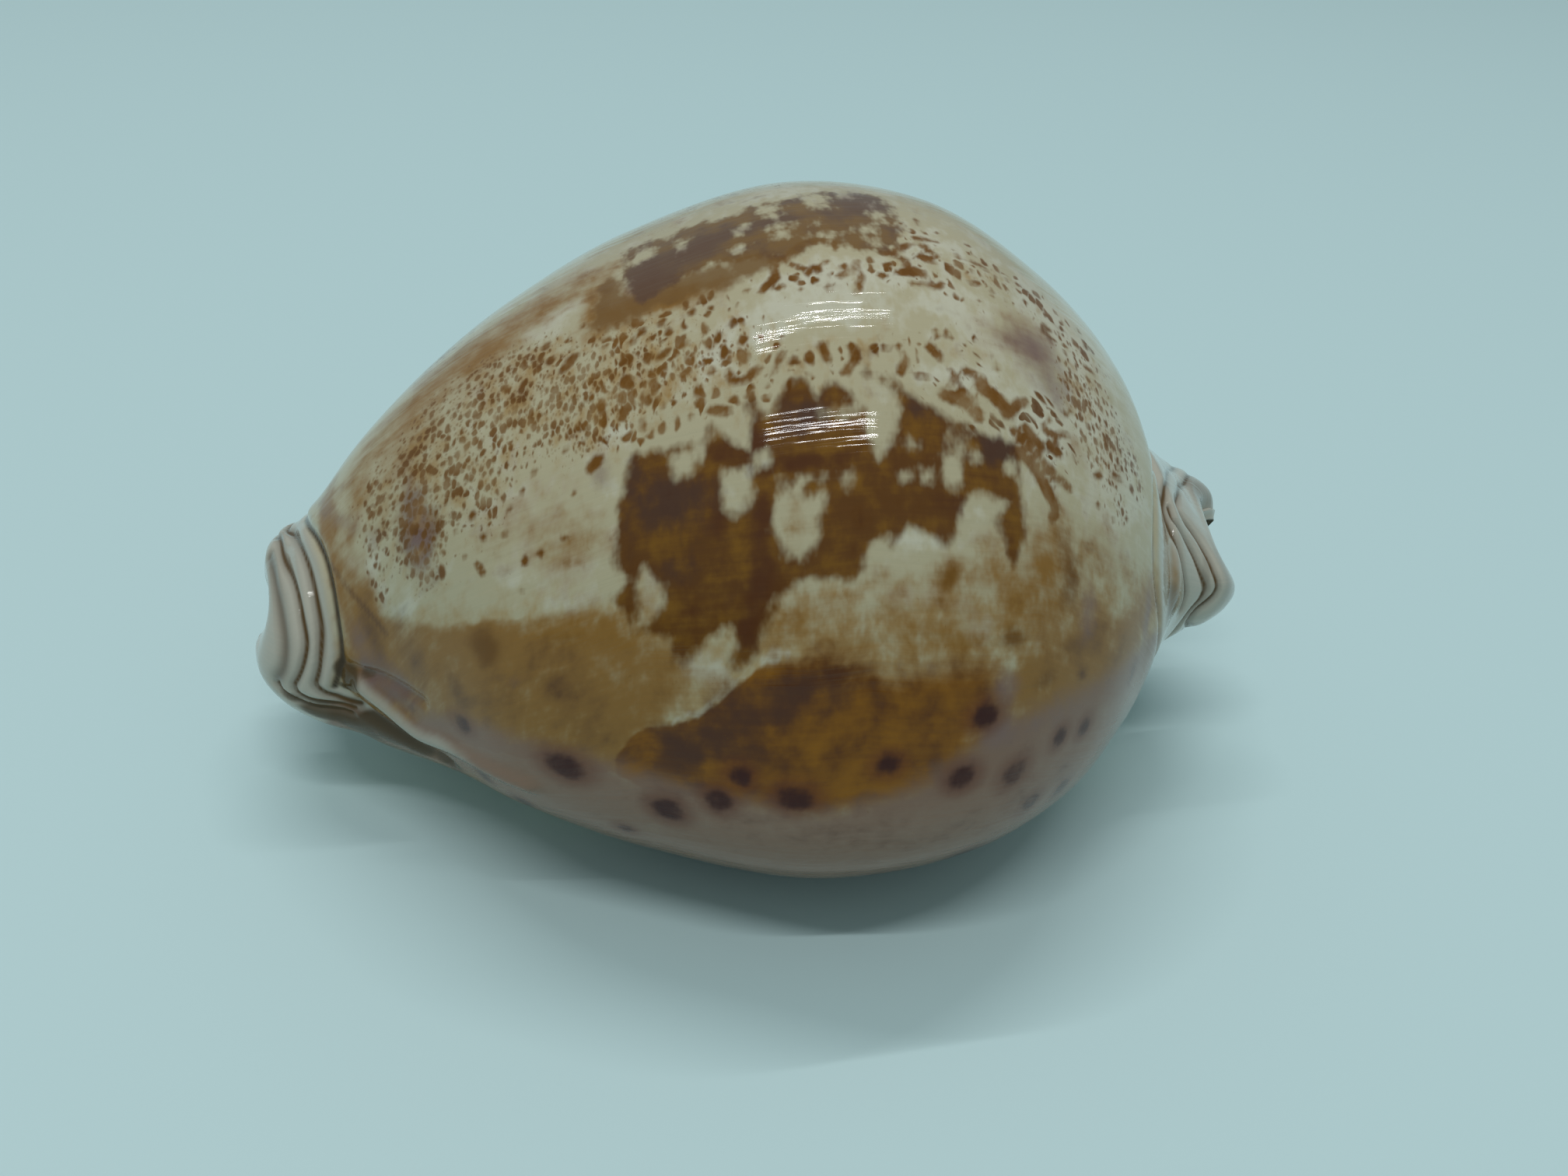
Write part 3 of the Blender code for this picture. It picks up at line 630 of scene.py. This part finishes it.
bold = clouds((
    (-13, 450, 25, 18, 7), (-9, 444, 22, 10, 10), (-4.5, 447, 24, 9, 8), (-6.5, 425, 35, 22, 8.5),
    (-2.5, 425, 25, 18, 6.5), (-8.5, 405, 35, 18, 6), (-15.5, 440, 20, 20, 6), (-2.5, 402, 35, 14, 9.5),
    (19.8, 447, 26, 22, 7.5), (13.5, 463, 40, 14, 7.5), (17.3, 415, 10, 12, 6), (9, 475, 14, 16, 7),
    (15.5, 465, 20, 10, 5), (0, 410, 35, 11, 8.5), (5.5, 411, 30, 10, 7.5), (2.5, 446, 35, 11, 8.5),
    (7.5, 452, 25, 14, 8.5), (11, 440, 25, 16, 5), (10.5, 418, 20, 12, 5.5), (12, 456, 30, 16, 6),
    (17, 452, 30, 18, 5.5), (-7.5, 396, 35, 15, 9.5), (6, 550, 70, 24, 5), (-6, 585, 60, 20, 7),
    (9, 585, 40, 16, 8), (15, 640, 30, 24, 5), (-9.5, 650, 25, 16, 6),
))
peppered += 0.5 * bold
bold *= soft(-fleck, 0.05, 0.25)
slant = clouds((
    (12.5, 387, 32, 15, 10), (9.5, 397, 20, 9, 7), (14.8, 372, 16, 16, 9), (14.5, 397, 20, 12, 7),
    (16.5, 385, 12, 18, 5), (10.5, 412, 20, 12, 4), (6.5, 405, 16, 6, 4), (11, 605, 25, 12, 8),
    (-2, 598, 30, 10, 6),
))
slant *= soft(-fleck, 0, 0.25)
pale = clouds((
    (-5, 295.5, 14, 8, 8), (-7.5, 325, 8, 12, 6), (6.3, 343, 16, 6, 8), (10.2, 352, 9, 11, 5),
    (10.3, 312, 9, 10, 7), (-23.9, 400, 7, 22, 7), (-22.6, 370, 8, 20, 7), (5, 392, 10, 18, 3),
    (1.5, 430, 45, 14, 8), (11, 435, 24, 18, 8), (20, 360, 30, 22, 6), (-13.5, 335, 45, 12, 3.5),
    (-15, 370, 45, 26, 4), (4, 447, 35, 16, 8), (-13, 475, 25, 14, 9), (-9.5, 390, 25, 14, 4),
    (-4, 415, 30, 16, 6), (19, 400, 30, 26, 7), (20, 460, 50, 40, 8), (9.5, 470, 25, 25, 8),
    (-21, 330, 16, 8, 5), (14.8, 385, 30, 28, 9), (9.5, 402, 25, 12, 8), (12, 415, 20, 12, 6),
    (19, 380, 35, 35, 7), (17, 450, 50, 30, 7), (-17, 530, 70, 30, 6), (2, 530, 100, 30, 7),
    (6.5, 325, 18, 6, 5), (13.8, 300, 8, 10, 3), (10, 570, 60, 30, 5), (-8, 600, 50, 30, 4),
    (-14, 670, 50, 14, 5), (6, 680, 50, 10, 7),
))
seam_line = line_distance(curve((-6.5, 270.5, -4.6, 279.5, -3.2, 291.5, -2, 300, -0.6, 305)))
pale = np.maximum(pale, 0.7 * bump(seam_line - 0.15, 0.16) * (gold < 0.4))

# Spots of the margin and the base, the near side's and then the far side's. A rusty ring lies
# round each.
SPOTS = (
    (-6.8, 217, 10, 10, 10), (-4, 235, 8.5, 9, 9.5), (-2.9, 252, 7.5, 7.5, 9.5),
    (0.2, 247, 11, 9.5, 10), (5.2, 263, 7.5, 7, 9.5), (10.8, 278, 9, 8, 10), (9.7, 253, 9, 8.5, 10),
    (13.2, 247, 9, 9.5, 7.5), (16.3, 255, 6.5, 7, 7.5), (18.2, 252, 6.5, 7, 7.5),
    (-12.7, 232, 13, 10, 9.5), (-19, 245, 9, 7, 7.5), (-9.3, 178, 6, 6, 8), (-18.2, 178, 6, 6, 8),
    (22.5, 262, 5, 7, 4), (-22.4, 262, 5, 6, 4), (17.2, 225, 8, 10, 2.5), (14, 228, 9, 12, 2.5),
    (-1.5, 130, 11, 13, 10), (6.4, 140, 13, 16, 10), (11.5, 160, 11, 13, 10), (15.8, 127, 10, 13, 10),
    (21.4, 170, 8, 12, 8), (-12, 100, 14, 12, 10), (-20.3, 128, 6, 12, 8), (-22, 88, 5, 7, 7),
    (-15.5, 153, 7, 8, 9), (15, 213, 8, 9, 7), (17.6, 205, 7, 8, 7), (-14.7, 75, 8, 8, 8),
    (-5.5, 70, 6, 10, 8), (-1.8, 65, 13, 11, 9), (9.8, 80, 7, 9, 8), (21, 75, 10, 13, 9),
    (23.7, 68, 8, 9, 8), (14.5, 50, 8, 8, 8), (17.5, 40, 8, 7, 7), (-7.7, 45, 10, 8, 6),
    (-13.5, 30, 8, 6, 3), (-18.8, 30, 8, 6, 3), (4.5, 50, 26, 8, 7), (26.5, 125, 8, 10, 5),
    (-17.5, 765, 9, 8, 8), (-13.8, 782, 7, 7, 9), (-9.5, 762, 10, 9, 9), (-6.2, 790, 7, 7, 8),
    (-3, 771, 8, 8, 10), (0.6, 764, 6, 6, 8), (2.6, 789, 10, 9, 10), (6.4, 770, 7, 7, 9),
    (8.9, 754, 6, 6, 7), (11.8, 778, 9, 8, 9), (15, 757, 7, 7, 6), (18.4, 771, 8, 8, 7),
    (21.6, 752, 6, 7, 5), (-21, 790, 6, 7, 6), (-16.4, 838, 8, 9, 9), (-10.8, 825, 11, 12, 10),
    (-5, 846, 10, 12, 10), (0.2, 832, 12, 14, 10), (5.6, 851, 11, 13, 10), (10.4, 829, 10, 12, 9),
    (15.6, 845, 11, 12, 10), (20.6, 826, 8, 10, 8), (-20.4, 868, 6, 9, 7), (-13.6, 892, 9, 8, 8),
    (-8.2, 904, 7, 8, 7), (-2.4, 899, 9, 9, 9), (3.2, 915, 8, 8, 8), (8.6, 896, 9, 9, 9),
    (13.2, 912, 7, 8, 8), (18, 900, 8, 8, 8), (22.6, 885, 7, 9, 7), (25.6, 845, 6, 9, 5),
)
# Where an oval starts to show and where it is whole: cloud's distances, with a minus.
OVAL_EDGE = (-1.4, -0.5)
RING_EDGE = (-2.3, -1.0)
spot = np.zeros(len(u))
rust = np.zeros(len(u))
for *oval, strength in SPOTS:
    away = cloud(*oval)
    spot = np.maximum(spot, strength / 10 * soft(-away, *OVAL_EDGE))
    rust = np.maximum(rust, strength / 10 * soft(-away, *RING_EDGE))

# The margin is lilac grey, and the base a brown grey with rusty clouds.
margin_edge = np.interp(x_mm, (-22.0, -5.0, 2.0, 8.0, 12.0, 24.0),
                        (0.252, 0.24, 0.244, 0.257, 0.276, 0.276))
margin = soft(margin_edge - from_lip, -0.016, 0.016)
base_tan = clouds((
    (-20, 130, 40, 30, 9), (-15, 120, 40, 30, 8), (10, 150, 50, 25, 6), (17, 145, 40, 30, 8),
    (23, 140, 30, 26, 8), (-6, 150, 40, 20, 4), (-18, 860, 40, 30, 8), (-9, 860, 40, 30, 6),
    (3, 870, 50, 30, 5), (13, 865, 50, 30, 7), (21, 860, 40, 30, 8),
))
# The flanges are white between their lines, with painted grey shade on their rims and in the front
# one's hollow, and brown roots. Olive lies on and beside them, a stain on the back one and painted
# shadow in the hollows under the front one, and the front one's tip is a little pink.
front_u, front_t = np.array(FRONT_CREASE[::2]), np.array(FRONT_CREASE[1::2]) / 1000
back_u, back_t = np.array(BACK_CREASE[::2]), np.array(BACK_CREASE[1::2]) / 1000
on_front = soft(np.interp(t, front_t[::-1], front_u[::-1]) - u, -0.05, 0.3)
on_back = soft(u - np.interp(t, back_t[::-1], back_u[::-1]), -0.05, 0.3)
flange = np.maximum(on_front, on_back)


def flange_clouds(table):
    """Several ovals, each with an edge of its own, the strongest on top."""
    found = np.zeros(len(u))
    for *oval, strength in table:
        away = cloud(*oval, on_flange=True)
        found = np.maximum(found, strength / 10 * soft(-away, *OVAL_EDGE))
    return found


# Painted grey shade and painted dark reflection on the rounded rims at the flanges' ends.
flange_shade = flange_clouds((
    (19.6, 300, 8, 26, 4), (20.2, 250, 10, 20, 4), (20.6, 530, 13, 28, 7), (20.9, 585, 13, 22, 6),
    (18.2, 300, 3.5, 20, 3), (17.8, 30, 14, 16, 6), (18.6, 100, 18, 16, 4), (4, 70, 16, 5, 8),
    (3, 660, 6, 24, 7), (19.6, 720, 10, 26, 4), (20.6, 750, 10, 22, 4), (4.6, 840, 14, 10, 7),
))
# Painted shadow in the hollow along the front flange.
flange_shade = np.maximum(flange_shade, 0.9 * bump(front_hollow, 0.5))
root = flange_clouds((
    (15.1, 345, 11, 22, 5), (15.3, 320, 12, 20, 8), (15.6, 292, 12, 20, 9), (15.7, 680, 9, 18, 8),
    (5.9, 150, 9, 6, 8),
))
# Olive: on the back flange a stain, on and under the front one painted shadow in its hollow, canal and
# pit.
olive_stain_and_shade = flange_clouds((
    (4.4, 200, 19, 9, 9), (5.4, 190, 19, 11, 10), (6.4, 200, 16, 10, 9), (3.4, 222, 10, 5, 7),
    (6.1, 224, 18, 9, 9.5), (7.2, 180, 14, 9, 5), (5.75, 272, 7, 4.5, 10), (6.9, 195, 18, 13, 10),
    (7.6, 170, 18, 10, 8), (6.7, 225, 12, 8, 10), (15.4, 290, 14, 18, 6), (15.6, 262, 13, 22, 5),
    (16, 235, 9, 16, 3), (16.2, 455, 7, 12, 3), (17, 490, 7, 16, 3.5), (17.8, 530, 7, 16, 3),
    (6.05, 287, 10, 11, 10), (5.85, 295, 6, 8, 10), (6.5, 292, 8, 4, 6), (5.9, 720, 8, 16, 6),
    (5.6, 840, 16, 10, 7), (15.4, 740, 9, 14, 6),
))
ribs = flange_clouds(((4.9, 244, 17, 7.5, 10), (5.9, 250, 8, 6, 9)))
flange = np.maximum(flange, ribs)
beak = flange_clouds(((1.3, 300, 10, 12, 9), (1, 240, 8, 12, 5)))

# The lips and the cavity are cream, but not at the canals' mouths.
callus = soft(-from_lip, -0.075, -0.035)
callus = np.where(outside, callus, 1.0)
inside_glow = soft(depth, 0.4, 1.0)
at_mouth = soft(-np.minimum(u, LAST - u), -1.6, -0.3)
callus *= (1 - at_mouth) * (1 - flange)
inside_glow *= (1 - at_mouth) * (1 - flange)

# The fold of glaze turns whitish towards the front.
fold = bump(fold_line, 0.9) * soft(-x_mm, 16.5, 21.5)

# The skin laid flat: how far along the shell and round it each point lies, in millimetres.
girth = np.interp(x_mm, (-34.0, -28.0, -20.0, -8.0, 4.0, 14.0, 22.0, 28.0, 34.0),
                  (30.0, 46.0, 80.0, 115.0, 126.0, 118.0, 90.0, 50.0, 30.0))
flat = np.stack([x_mm, (t - 0.42) * girth, depth], axis=1)

shell_mesh = bpy.data.meshes.new("cowrie")
in_box = np.clip((skin_mm - CENTRE) * MM, *np.array(cad_box))
for vert, corner in zip(bm.verts, in_box):
    vert.co = corner
bm.to_mesh(shell_mesh)
bm.free()
shell_mesh.shade_smooth()
# The field low holds the painted shade of the lower half.
for name, values in dict(
    chestnut=chestnut, umber=umber, fleck=fleck, gold=gold, tan_and_shade=tan_and_shade, sepia=sepia, lilac=lilac,
    freckle=freckle, pale=pale, spot=spot, rust=rust, margin=margin, base_tan=base_tan,
    callus=callus, flange=flange, line=thin_line, crease=crease_line, flange_shade=flange_shade, root=root,
    beak=beak, inside=inside_glow, russet=russet, mauve=mauve, bold=bold, slant=slant,
    low=low_shade, halo=halo, ochre=ochre, peppered=peppered, olive_stain_and_shade=olive_stain_and_shade, fold=fold,
).items():
    layer = shell_mesh.attributes.new(name, "FLOAT", "POINT")
    layer.data.foreach_set("value", np.asarray(values, np.float32))
flat_layer = shell_mesh.attributes.new("flat", "FLOAT_VECTOR", "POINT")
flat_layer.data.foreach_set("vector", np.asarray(flat, np.float32).ravel())
shell = bpy.data.objects.new("cowrie", shell_mesh)
bpy.context.scene.collection.objects.link(shell)
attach(shell, "root")
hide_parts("shell")

# The porcelain. Its coats of colour lie one over the other, from the cream ground up to the dark
# lines, most as the mantle laid them down and some as painted shade, and noise frays most of their
# edges.
porcelain = bpy.data.materials.new("cowrie porcelain")
porcelain.use_nodes = True
nodes = porcelain.node_tree.nodes
links = porcelain.node_tree.links
shader = nodes["Principled BSDF"]


def join(source, target):
    if isinstance(source, bpy.types.NodeSocket):
        links.new(source, target)
    else:
        target.default_value = source


def maths(operation, *values):
    node = nodes.new("ShaderNodeMath")
    node.operation = operation
    for source, target in zip(values, node.inputs):
        join(source, target)
    return node.outputs[0]


def plus(value, *terms):
    """Adds fields and noises to a value, each times the amount given after it."""
    for term, amount in zip(terms[::2], terms[1::2]):
        value = maths("MULTIPLY_ADD", term, amount, value)
    return value


def field(name):
    node = nodes.new("ShaderNodeAttribute")
    node.attribute_name = name
    return node.outputs["Fac"]


def ramp(value, low, high, start=0.0, end=1.0):
    node = nodes.new("ShaderNodeMapRange")
    node.interpolation_type = "SMOOTHSTEP"
    for source, target in zip((value, low, high, start, end), node.inputs):
        join(source, target)
    return node.outputs[0]


def over(ground, colour, share):
    node = nodes.new("ShaderNodeMix")
    node.data_type = "RGBA"
    join(share, node.inputs[0])
    join(ground, node.inputs[6])
    join(colour, node.inputs[7])
    return node.outputs[2]


def coats(ground, table):
    """Lays coats over the ground. Each has a colour, a share, the shares at which it starts and
    is whole, and how much it hides then."""
    for colour, share, low, high, most in table:
        ground = over(ground, colour, ramp(share, low, high, 0, most))
    return ground


def shade(red, green, blue):
    """A colour given as a screen shows it, 0 to 255."""
    return tuple(((c / 255 + 0.055) / 1.055) ** 2.4 for c in (red, green, blue)) + (1,)


flat_place = nodes.new("ShaderNodeAttribute")
flat_place.attribute_name = "flat"


def lattice(size, stretch, shift, turn=0.0):
    mapping = nodes.new("ShaderNodeMapping")
    mapping.vector_type = "TEXTURE"
    mapping.inputs["Rotation"].default_value = (0, 0, turn)
    join(flat_place.outputs["Vector"], mapping.inputs["Vector"])
    mapping.inputs["Location"].default_value = (shift, shift, shift)
    mapping.inputs["Scale"].default_value = [size * s for s in stretch]
    return mapping.outputs[0]


def grain(size, stretch=(1, 1, 1), detail=2.0, shift=0.0):
    """Noise about 0, whose lumps are about as long as size in millimetres, times stretch."""
    node = nodes.new("ShaderNodeTexNoise")
    join(lattice(size, stretch, shift), node.inputs["Vector"])
    node.inputs["Scale"].default_value = 1
    node.inputs["Detail"].default_value = detail
    return maths("SUBTRACT", node.outputs["Fac"], 0.5)


def dots(size, stretch=(1, 1, 1), shift=0.0, warp=0.5, turn=0.0):
    """Distance to the nearest of many scattered points, 0 at each and about 0.6 between."""
    place = lattice(size, stretch, shift, turn)
    noise = nodes.new("ShaderNodeTexNoise")
    join(place, noise.inputs["Vector"])
    noise.inputs["Scale"].default_value = 1.3
    noise.inputs["Detail"].default_value = 1
    bend = nodes.new("ShaderNodeVectorMath")
    bend.operation = "MULTIPLY_ADD"
    join(noise.outputs["Color"], bend.inputs[0])
    bend.inputs[1].default_value = (warp, warp, warp)
    join(place, bend.inputs[2])
    node = nodes.new("ShaderNodeTexVoronoi")
    node.voronoi_dimensions = "2D"
    join(bend.outputs[0], node.inputs["Vector"])
    node.inputs["Scale"].default_value = 1
    return node.outputs["Distance"]


CREAM = shade(184, 174, 143)
WARM_CREAM = shade(174, 150, 108)
WHITE = shade(200, 195, 173)
TAN = shade(144, 104, 48)
GOLD_LIGHT = shade(142, 90, 0)
GOLD_DEEP = shade(98, 54, 4)
SEPIA = shade(80, 46, 28)
CHESTNUT_GOLD = shade(122, 80, 8)
CHESTNUT_DARK = shade(94, 54, 6)
RUSSET = shade(80, 38, 4)
MAUVE = shade(76, 46, 32)
UMBER_BROWN = shade(98, 70, 52)
LILAC = shade(128, 104, 98)
FRECKLE_BROWN = shade(120, 86, 42)
FLECK_GOLD = shade(124, 82, 26)
FRECKLE_TAN = shade(158, 122, 68)
MARGIN_GREY = shade(134, 106, 90)
BASE_TAN = shade(152, 108, 60)
SPOT_BROWN = shade(58, 14, 4)
OCHRE = shade(112, 72, 16)
RUST = shade(98, 42, 16)
LIP_CREAM = shade(196, 186, 156)
FLANGE_WHITE = shade(181, 177, 163)
LINE_BROWN = shade(86, 62, 26)
SHADE_GREY = shade(112, 102, 88)
ROOT_BROWN = shade(142, 108, 56)
OLIVE_STAIN_AND_SHADE = shade(78, 62, 38)
CREASE_BROWN = shade(62, 48, 30)
BEAK_PINK = shade(190, 168, 148)

mottle = grain(3.2, detail=3)
fine_mottle = grain(1.2, detail=3, shift=4)
blur = plus(maths("MULTIPLY", mottle, 0.7), fine_mottle, 0.9)
streak = grain(0.45, (9, 1, 1), detail=3)
grit = grain(0.4, (1, 1.5, 1), detail=1, shift=7)
smudge = grain(0.9, (0.9, 1.3, 1), detail=3, shift=8)
fringe = grain(0.9, (0.9, 1.2, 1), detail=2, shift=5)

# Warm cream where the freckles crowd, and over the lower half, where the low field adds painted shade.
warmth = plus(maths("MULTIPLY", field("freckle"), 0.5), field("bold"), 0.3, field("low"), 1.1,
              blur, 1.8, grit, 0.9, smudge, 1.6)
pale_share = plus(field("pale"), grain(5, shift=2), 1.2, fine_mottle, 1.8, grit, 0.6, smudge, -1)
gold_depth = plus(blur, streak, 0.4, field("sepia"), 0.3)
gold_tone = over(GOLD_LIGHT, GOLD_DEEP, ramp(gold_depth, -0.3, 0.4))
lilac_share = plus(field("lilac"), blur, 0.7)
ground = coats(CREAM, (
    (WARM_CREAM, warmth, 0.1, 1.3, 1),
    (WHITE, pale_share, 0.1, 0.9, 1),
    (TAN, plus(field("tan_and_shade"), blur, 1.1, streak, 0.3, grit, 0.3), 0.1, 0.95, 1),
    (gold_tone, plus(field("gold"), plus(blur, streak, 0.4), 0.5), 0.15, 0.85, 1),
    (MARGIN_GREY, plus(field("margin"), blur, 0.5), 0.15, 0.95, 0.92),
    (BASE_TAN, plus(field("base_tan"), blur, 1), 0.2, 1.1, 0.9),
    (SEPIA, plus(field("sepia"), blur, 0.9, streak, 0.2), 0.1, 1, 0.95),
    (OCHRE, plus(field("ochre"), blur, 0.9), 0.15, 0.95, 0.9),
    (LILAC, lilac_share, 0.15, 1, 0.9),
    (FRECKLE_TAN, plus(field("peppered"), smudge, 2.8), 0.6, 1.8, 0.75),
))


def scatter(name, centres, full, widest, wander, amount, low=-0.14, high=0.14, most=1):
    """Specks round scattered centres, wider where the field of that name is strong."""
    width = plus(ramp(field(name), 0.03, full, -0.16, widest), wander, amount)
    return ramp(maths("SUBTRACT", width, centres), low, high, 0, most)


specks = scatter("freckle", dots(0.45, (0.85, 1.4, 1), warp=0.7), 0.75, 0.37,
                 grain(1.1, shift=11), 0.8, -0.16, 0.16)
mites = scatter("freckle", dots(0.3, (0.9, 1.3, 1), shift=2, warp=0.6), 0.7, 0.24,
                grain(1.5, shift=14), 0.9, -0.15, 0.2, 0.55)
big_specks = scatter("bold", dots(0.95, (0.85, 1.1, 1), shift=3, warp=0.9), 0.85, 0.34,
                     grain(1.6, shift=12), 0.5)
slant_specks = scatter("slant", dots(0.72, (2, 0.75, 1), shift=5, warp=0.7, turn=-0.6), 0.85,
                       0.38, grain(1.2, shift=13), 0.7)
speck_tone = over(FLECK_GOLD, CHESTNUT_DARK, ramp(blur, -0.3, 0.6))
speck_share = maths("MULTIPLY", maths("MAXIMUM", specks, mites),
                    ramp(fine_mottle, -0.3, 0.15, 0.5, 0.95))
ground = over(ground, speck_tone, speck_share)
fleck_edge = plus(field("fleck"), fine_mottle, 0.5, grit, 0.3)
fleck_share = maths("MAXIMUM", maths("MAXIMUM", big_specks, slant_specks),
                    ramp(fleck_edge, -0.17, 0.19))
fleck_share = maths("MULTIPLY", fleck_share, ramp(fine_mottle, -0.3, 0.15, 0.72, 1))
fleck_depth = plus(blur, field("slant"), 0.5)
ground = over(ground, over(FLECK_GOLD, CHESTNUT_DARK, ramp(fleck_depth, -0.3, 0.7)), fleck_share)

chestnut_tone = coats(CHESTNUT_GOLD, (
    (CHESTNUT_DARK, plus(blur, streak, 0.5, smudge, 0.5), -0.35, 0.15, 1),
    (RUSSET, plus(field("russet"), blur, 0.9, streak, 0.3), 0.2, 1, 1),
    (MAUVE, plus(field("mauve"), blur, 0.9, smudge, 0.8), 0.2, 0.9, 1),
))
umber_tone = over(FRECKLE_BROWN, UMBER_BROWN, ramp(plus(lilac_share, blur, 0.6), -0.1, 0.5))
ground = coats(ground, (
    (chestnut_tone, plus(field("chestnut"), fringe, 1.1, grit, 0.3), -0.36, 0.42, 0.97),
    (FRECKLE_BROWN, plus(field("halo"), fringe, 1.8, blur, 1), -0.3, 0.9, 0.88),
    (umber_tone, plus(field("umber"), fringe, 1.6, grit, 0.8, blur, 0.6), -0.35, 0.45, 0.94),
))
ground = over(ground, LIP_CREAM, field("callus"))
ground = over(ground, RUST, maths("MULTIPLY", field("rust"), 0.55))
ground = coats(ground, (
    (SPOT_BROWN, plus(field("spot"), fine_mottle, 0.9, grit, 0.3), 0.05, 1.08, 0.98),
    (FLANGE_WHITE, plus(field("fold"), blur, 0.5), 0.2, 1, 0.75),
))
# The flanges' white takes its painted grey shade, its pink tip and its brown roots.
band = FLANGE_WHITE
for tint, name in ((SHADE_GREY, "flange_shade"), (BEAK_PINK, "beak"), (ROOT_BROWN, "root")):
    band = over(band, tint, field(name))
ground = over(ground, band, field("flange"))
# Olive, partly stain and partly painted shadow under the front flange, then painted grey shade beside
# each groove line, then the brown lines and creases.
ground = coats(ground, (
    (OLIVE_STAIN_AND_SHADE, plus(field("olive_stain_and_shade"), blur, 0.5), 0.1, 0.9, 0.92),
    (SHADE_GREY, field("line"), 0.55, 0.12, 0.5),
    (LINE_BROWN, field("line"), 0.24, 0.04, 0.95),
    (CREASE_BROWN, field("crease"), 0.36, 0.05, 0.95),
))
ground = over(ground, LIP_CREAM, field("inside"))
join(ground, shader.inputs["Base Color"])

# Fine scratches run along the shell, and the glaze is faintly uneven.
scratch = plus(grain(0.3, (22, 1, 1), detail=2, shift=9),
               grain(0.75, (10, 1, 1), detail=1, shift=15), 1.4)
height = plus(maths("MULTIPLY", grain(2.2, detail=1, shift=6), 0.3), scratch, 0.42)
bump_node = nodes.new("ShaderNodeBump")
bump_node.inputs["Strength"].default_value = 1.0
bump_node.inputs["Distance"].default_value = 0.05 * MM
join(height, bump_node.inputs["Height"])
join(bump_node.outputs[0], shader.inputs["Normal"])
shader.inputs["Roughness"].default_value = 0.06
shader.inputs["IOR"].default_value = 1.5
shader.inputs["Specular IOR Level"].default_value = 0.25
shell_mesh.materials.append(porcelain)

# ---------------------------------------------------------------------------------------------
# The floor and the lamps. The floor is a plain pale sheet. Two long narrow tubes hang over the
# shell and give it its two streaks of light, and a dim even room fills the shadows.
floor_mesh = bpy.data.meshes.new("floor")
bm = bmesh.new()
bmesh.ops.create_grid(bm, x_segments=1, y_segments=1, size=2)
bm.to_mesh(floor_mesh)
bm.free()
floor = bpy.data.objects.new("floor", floor_mesh)
bpy.context.scene.collection.objects.link(floor)
paint = bpy.data.materials.new("pale floor")
paint.use_nodes = True
floor_shader = paint.node_tree.nodes["Principled BSDF"]
floor_shader.inputs["Base Color"].default_value = (0.57, 0.755, 0.77, 1)
floor_shader.inputs["Roughness"].default_value = 0.6
floor_mesh.materials.append(paint)


def lamp(name, place, size, power, spin=0.0):
    """A lit rectangle that faces the shell, turned about its own beam by spin in degrees."""
    data = bpy.data.lights.new(name, "AREA")
    data.shape = "RECTANGLE"
    data.size, data.size_y = size
    data.energy = power
    light = bpy.data.objects.new(name, data)
    light.location = place
    towards = (Vector((0, 0, 0.02)) - Vector(place)).to_track_quat("-Z", "Y")
    light.rotation_euler = (towards @ Quaternion((0, 0, 1), math.radians(spin))).to_euler()
    bpy.context.scene.collection.objects.link(light)


lamp("back tube", (-0.02, 0.21, 0.95), (0.72, 0.015), 2.4)
lamp("front tube", (-0.1, -0.36, 0.93), (0.68, 0.018), 2.8, 12)
world = bpy.data.worlds.new("studio")
world.use_nodes = True
room = world.node_tree.nodes["Background"]
room.inputs["Color"].default_value = (0.55, 0.68, 0.7, 1)
room.inputs["Strength"].default_value = 0.45
bpy.context.scene.world = world
bpy.context.scene.view_settings.view_transform = "Standard"
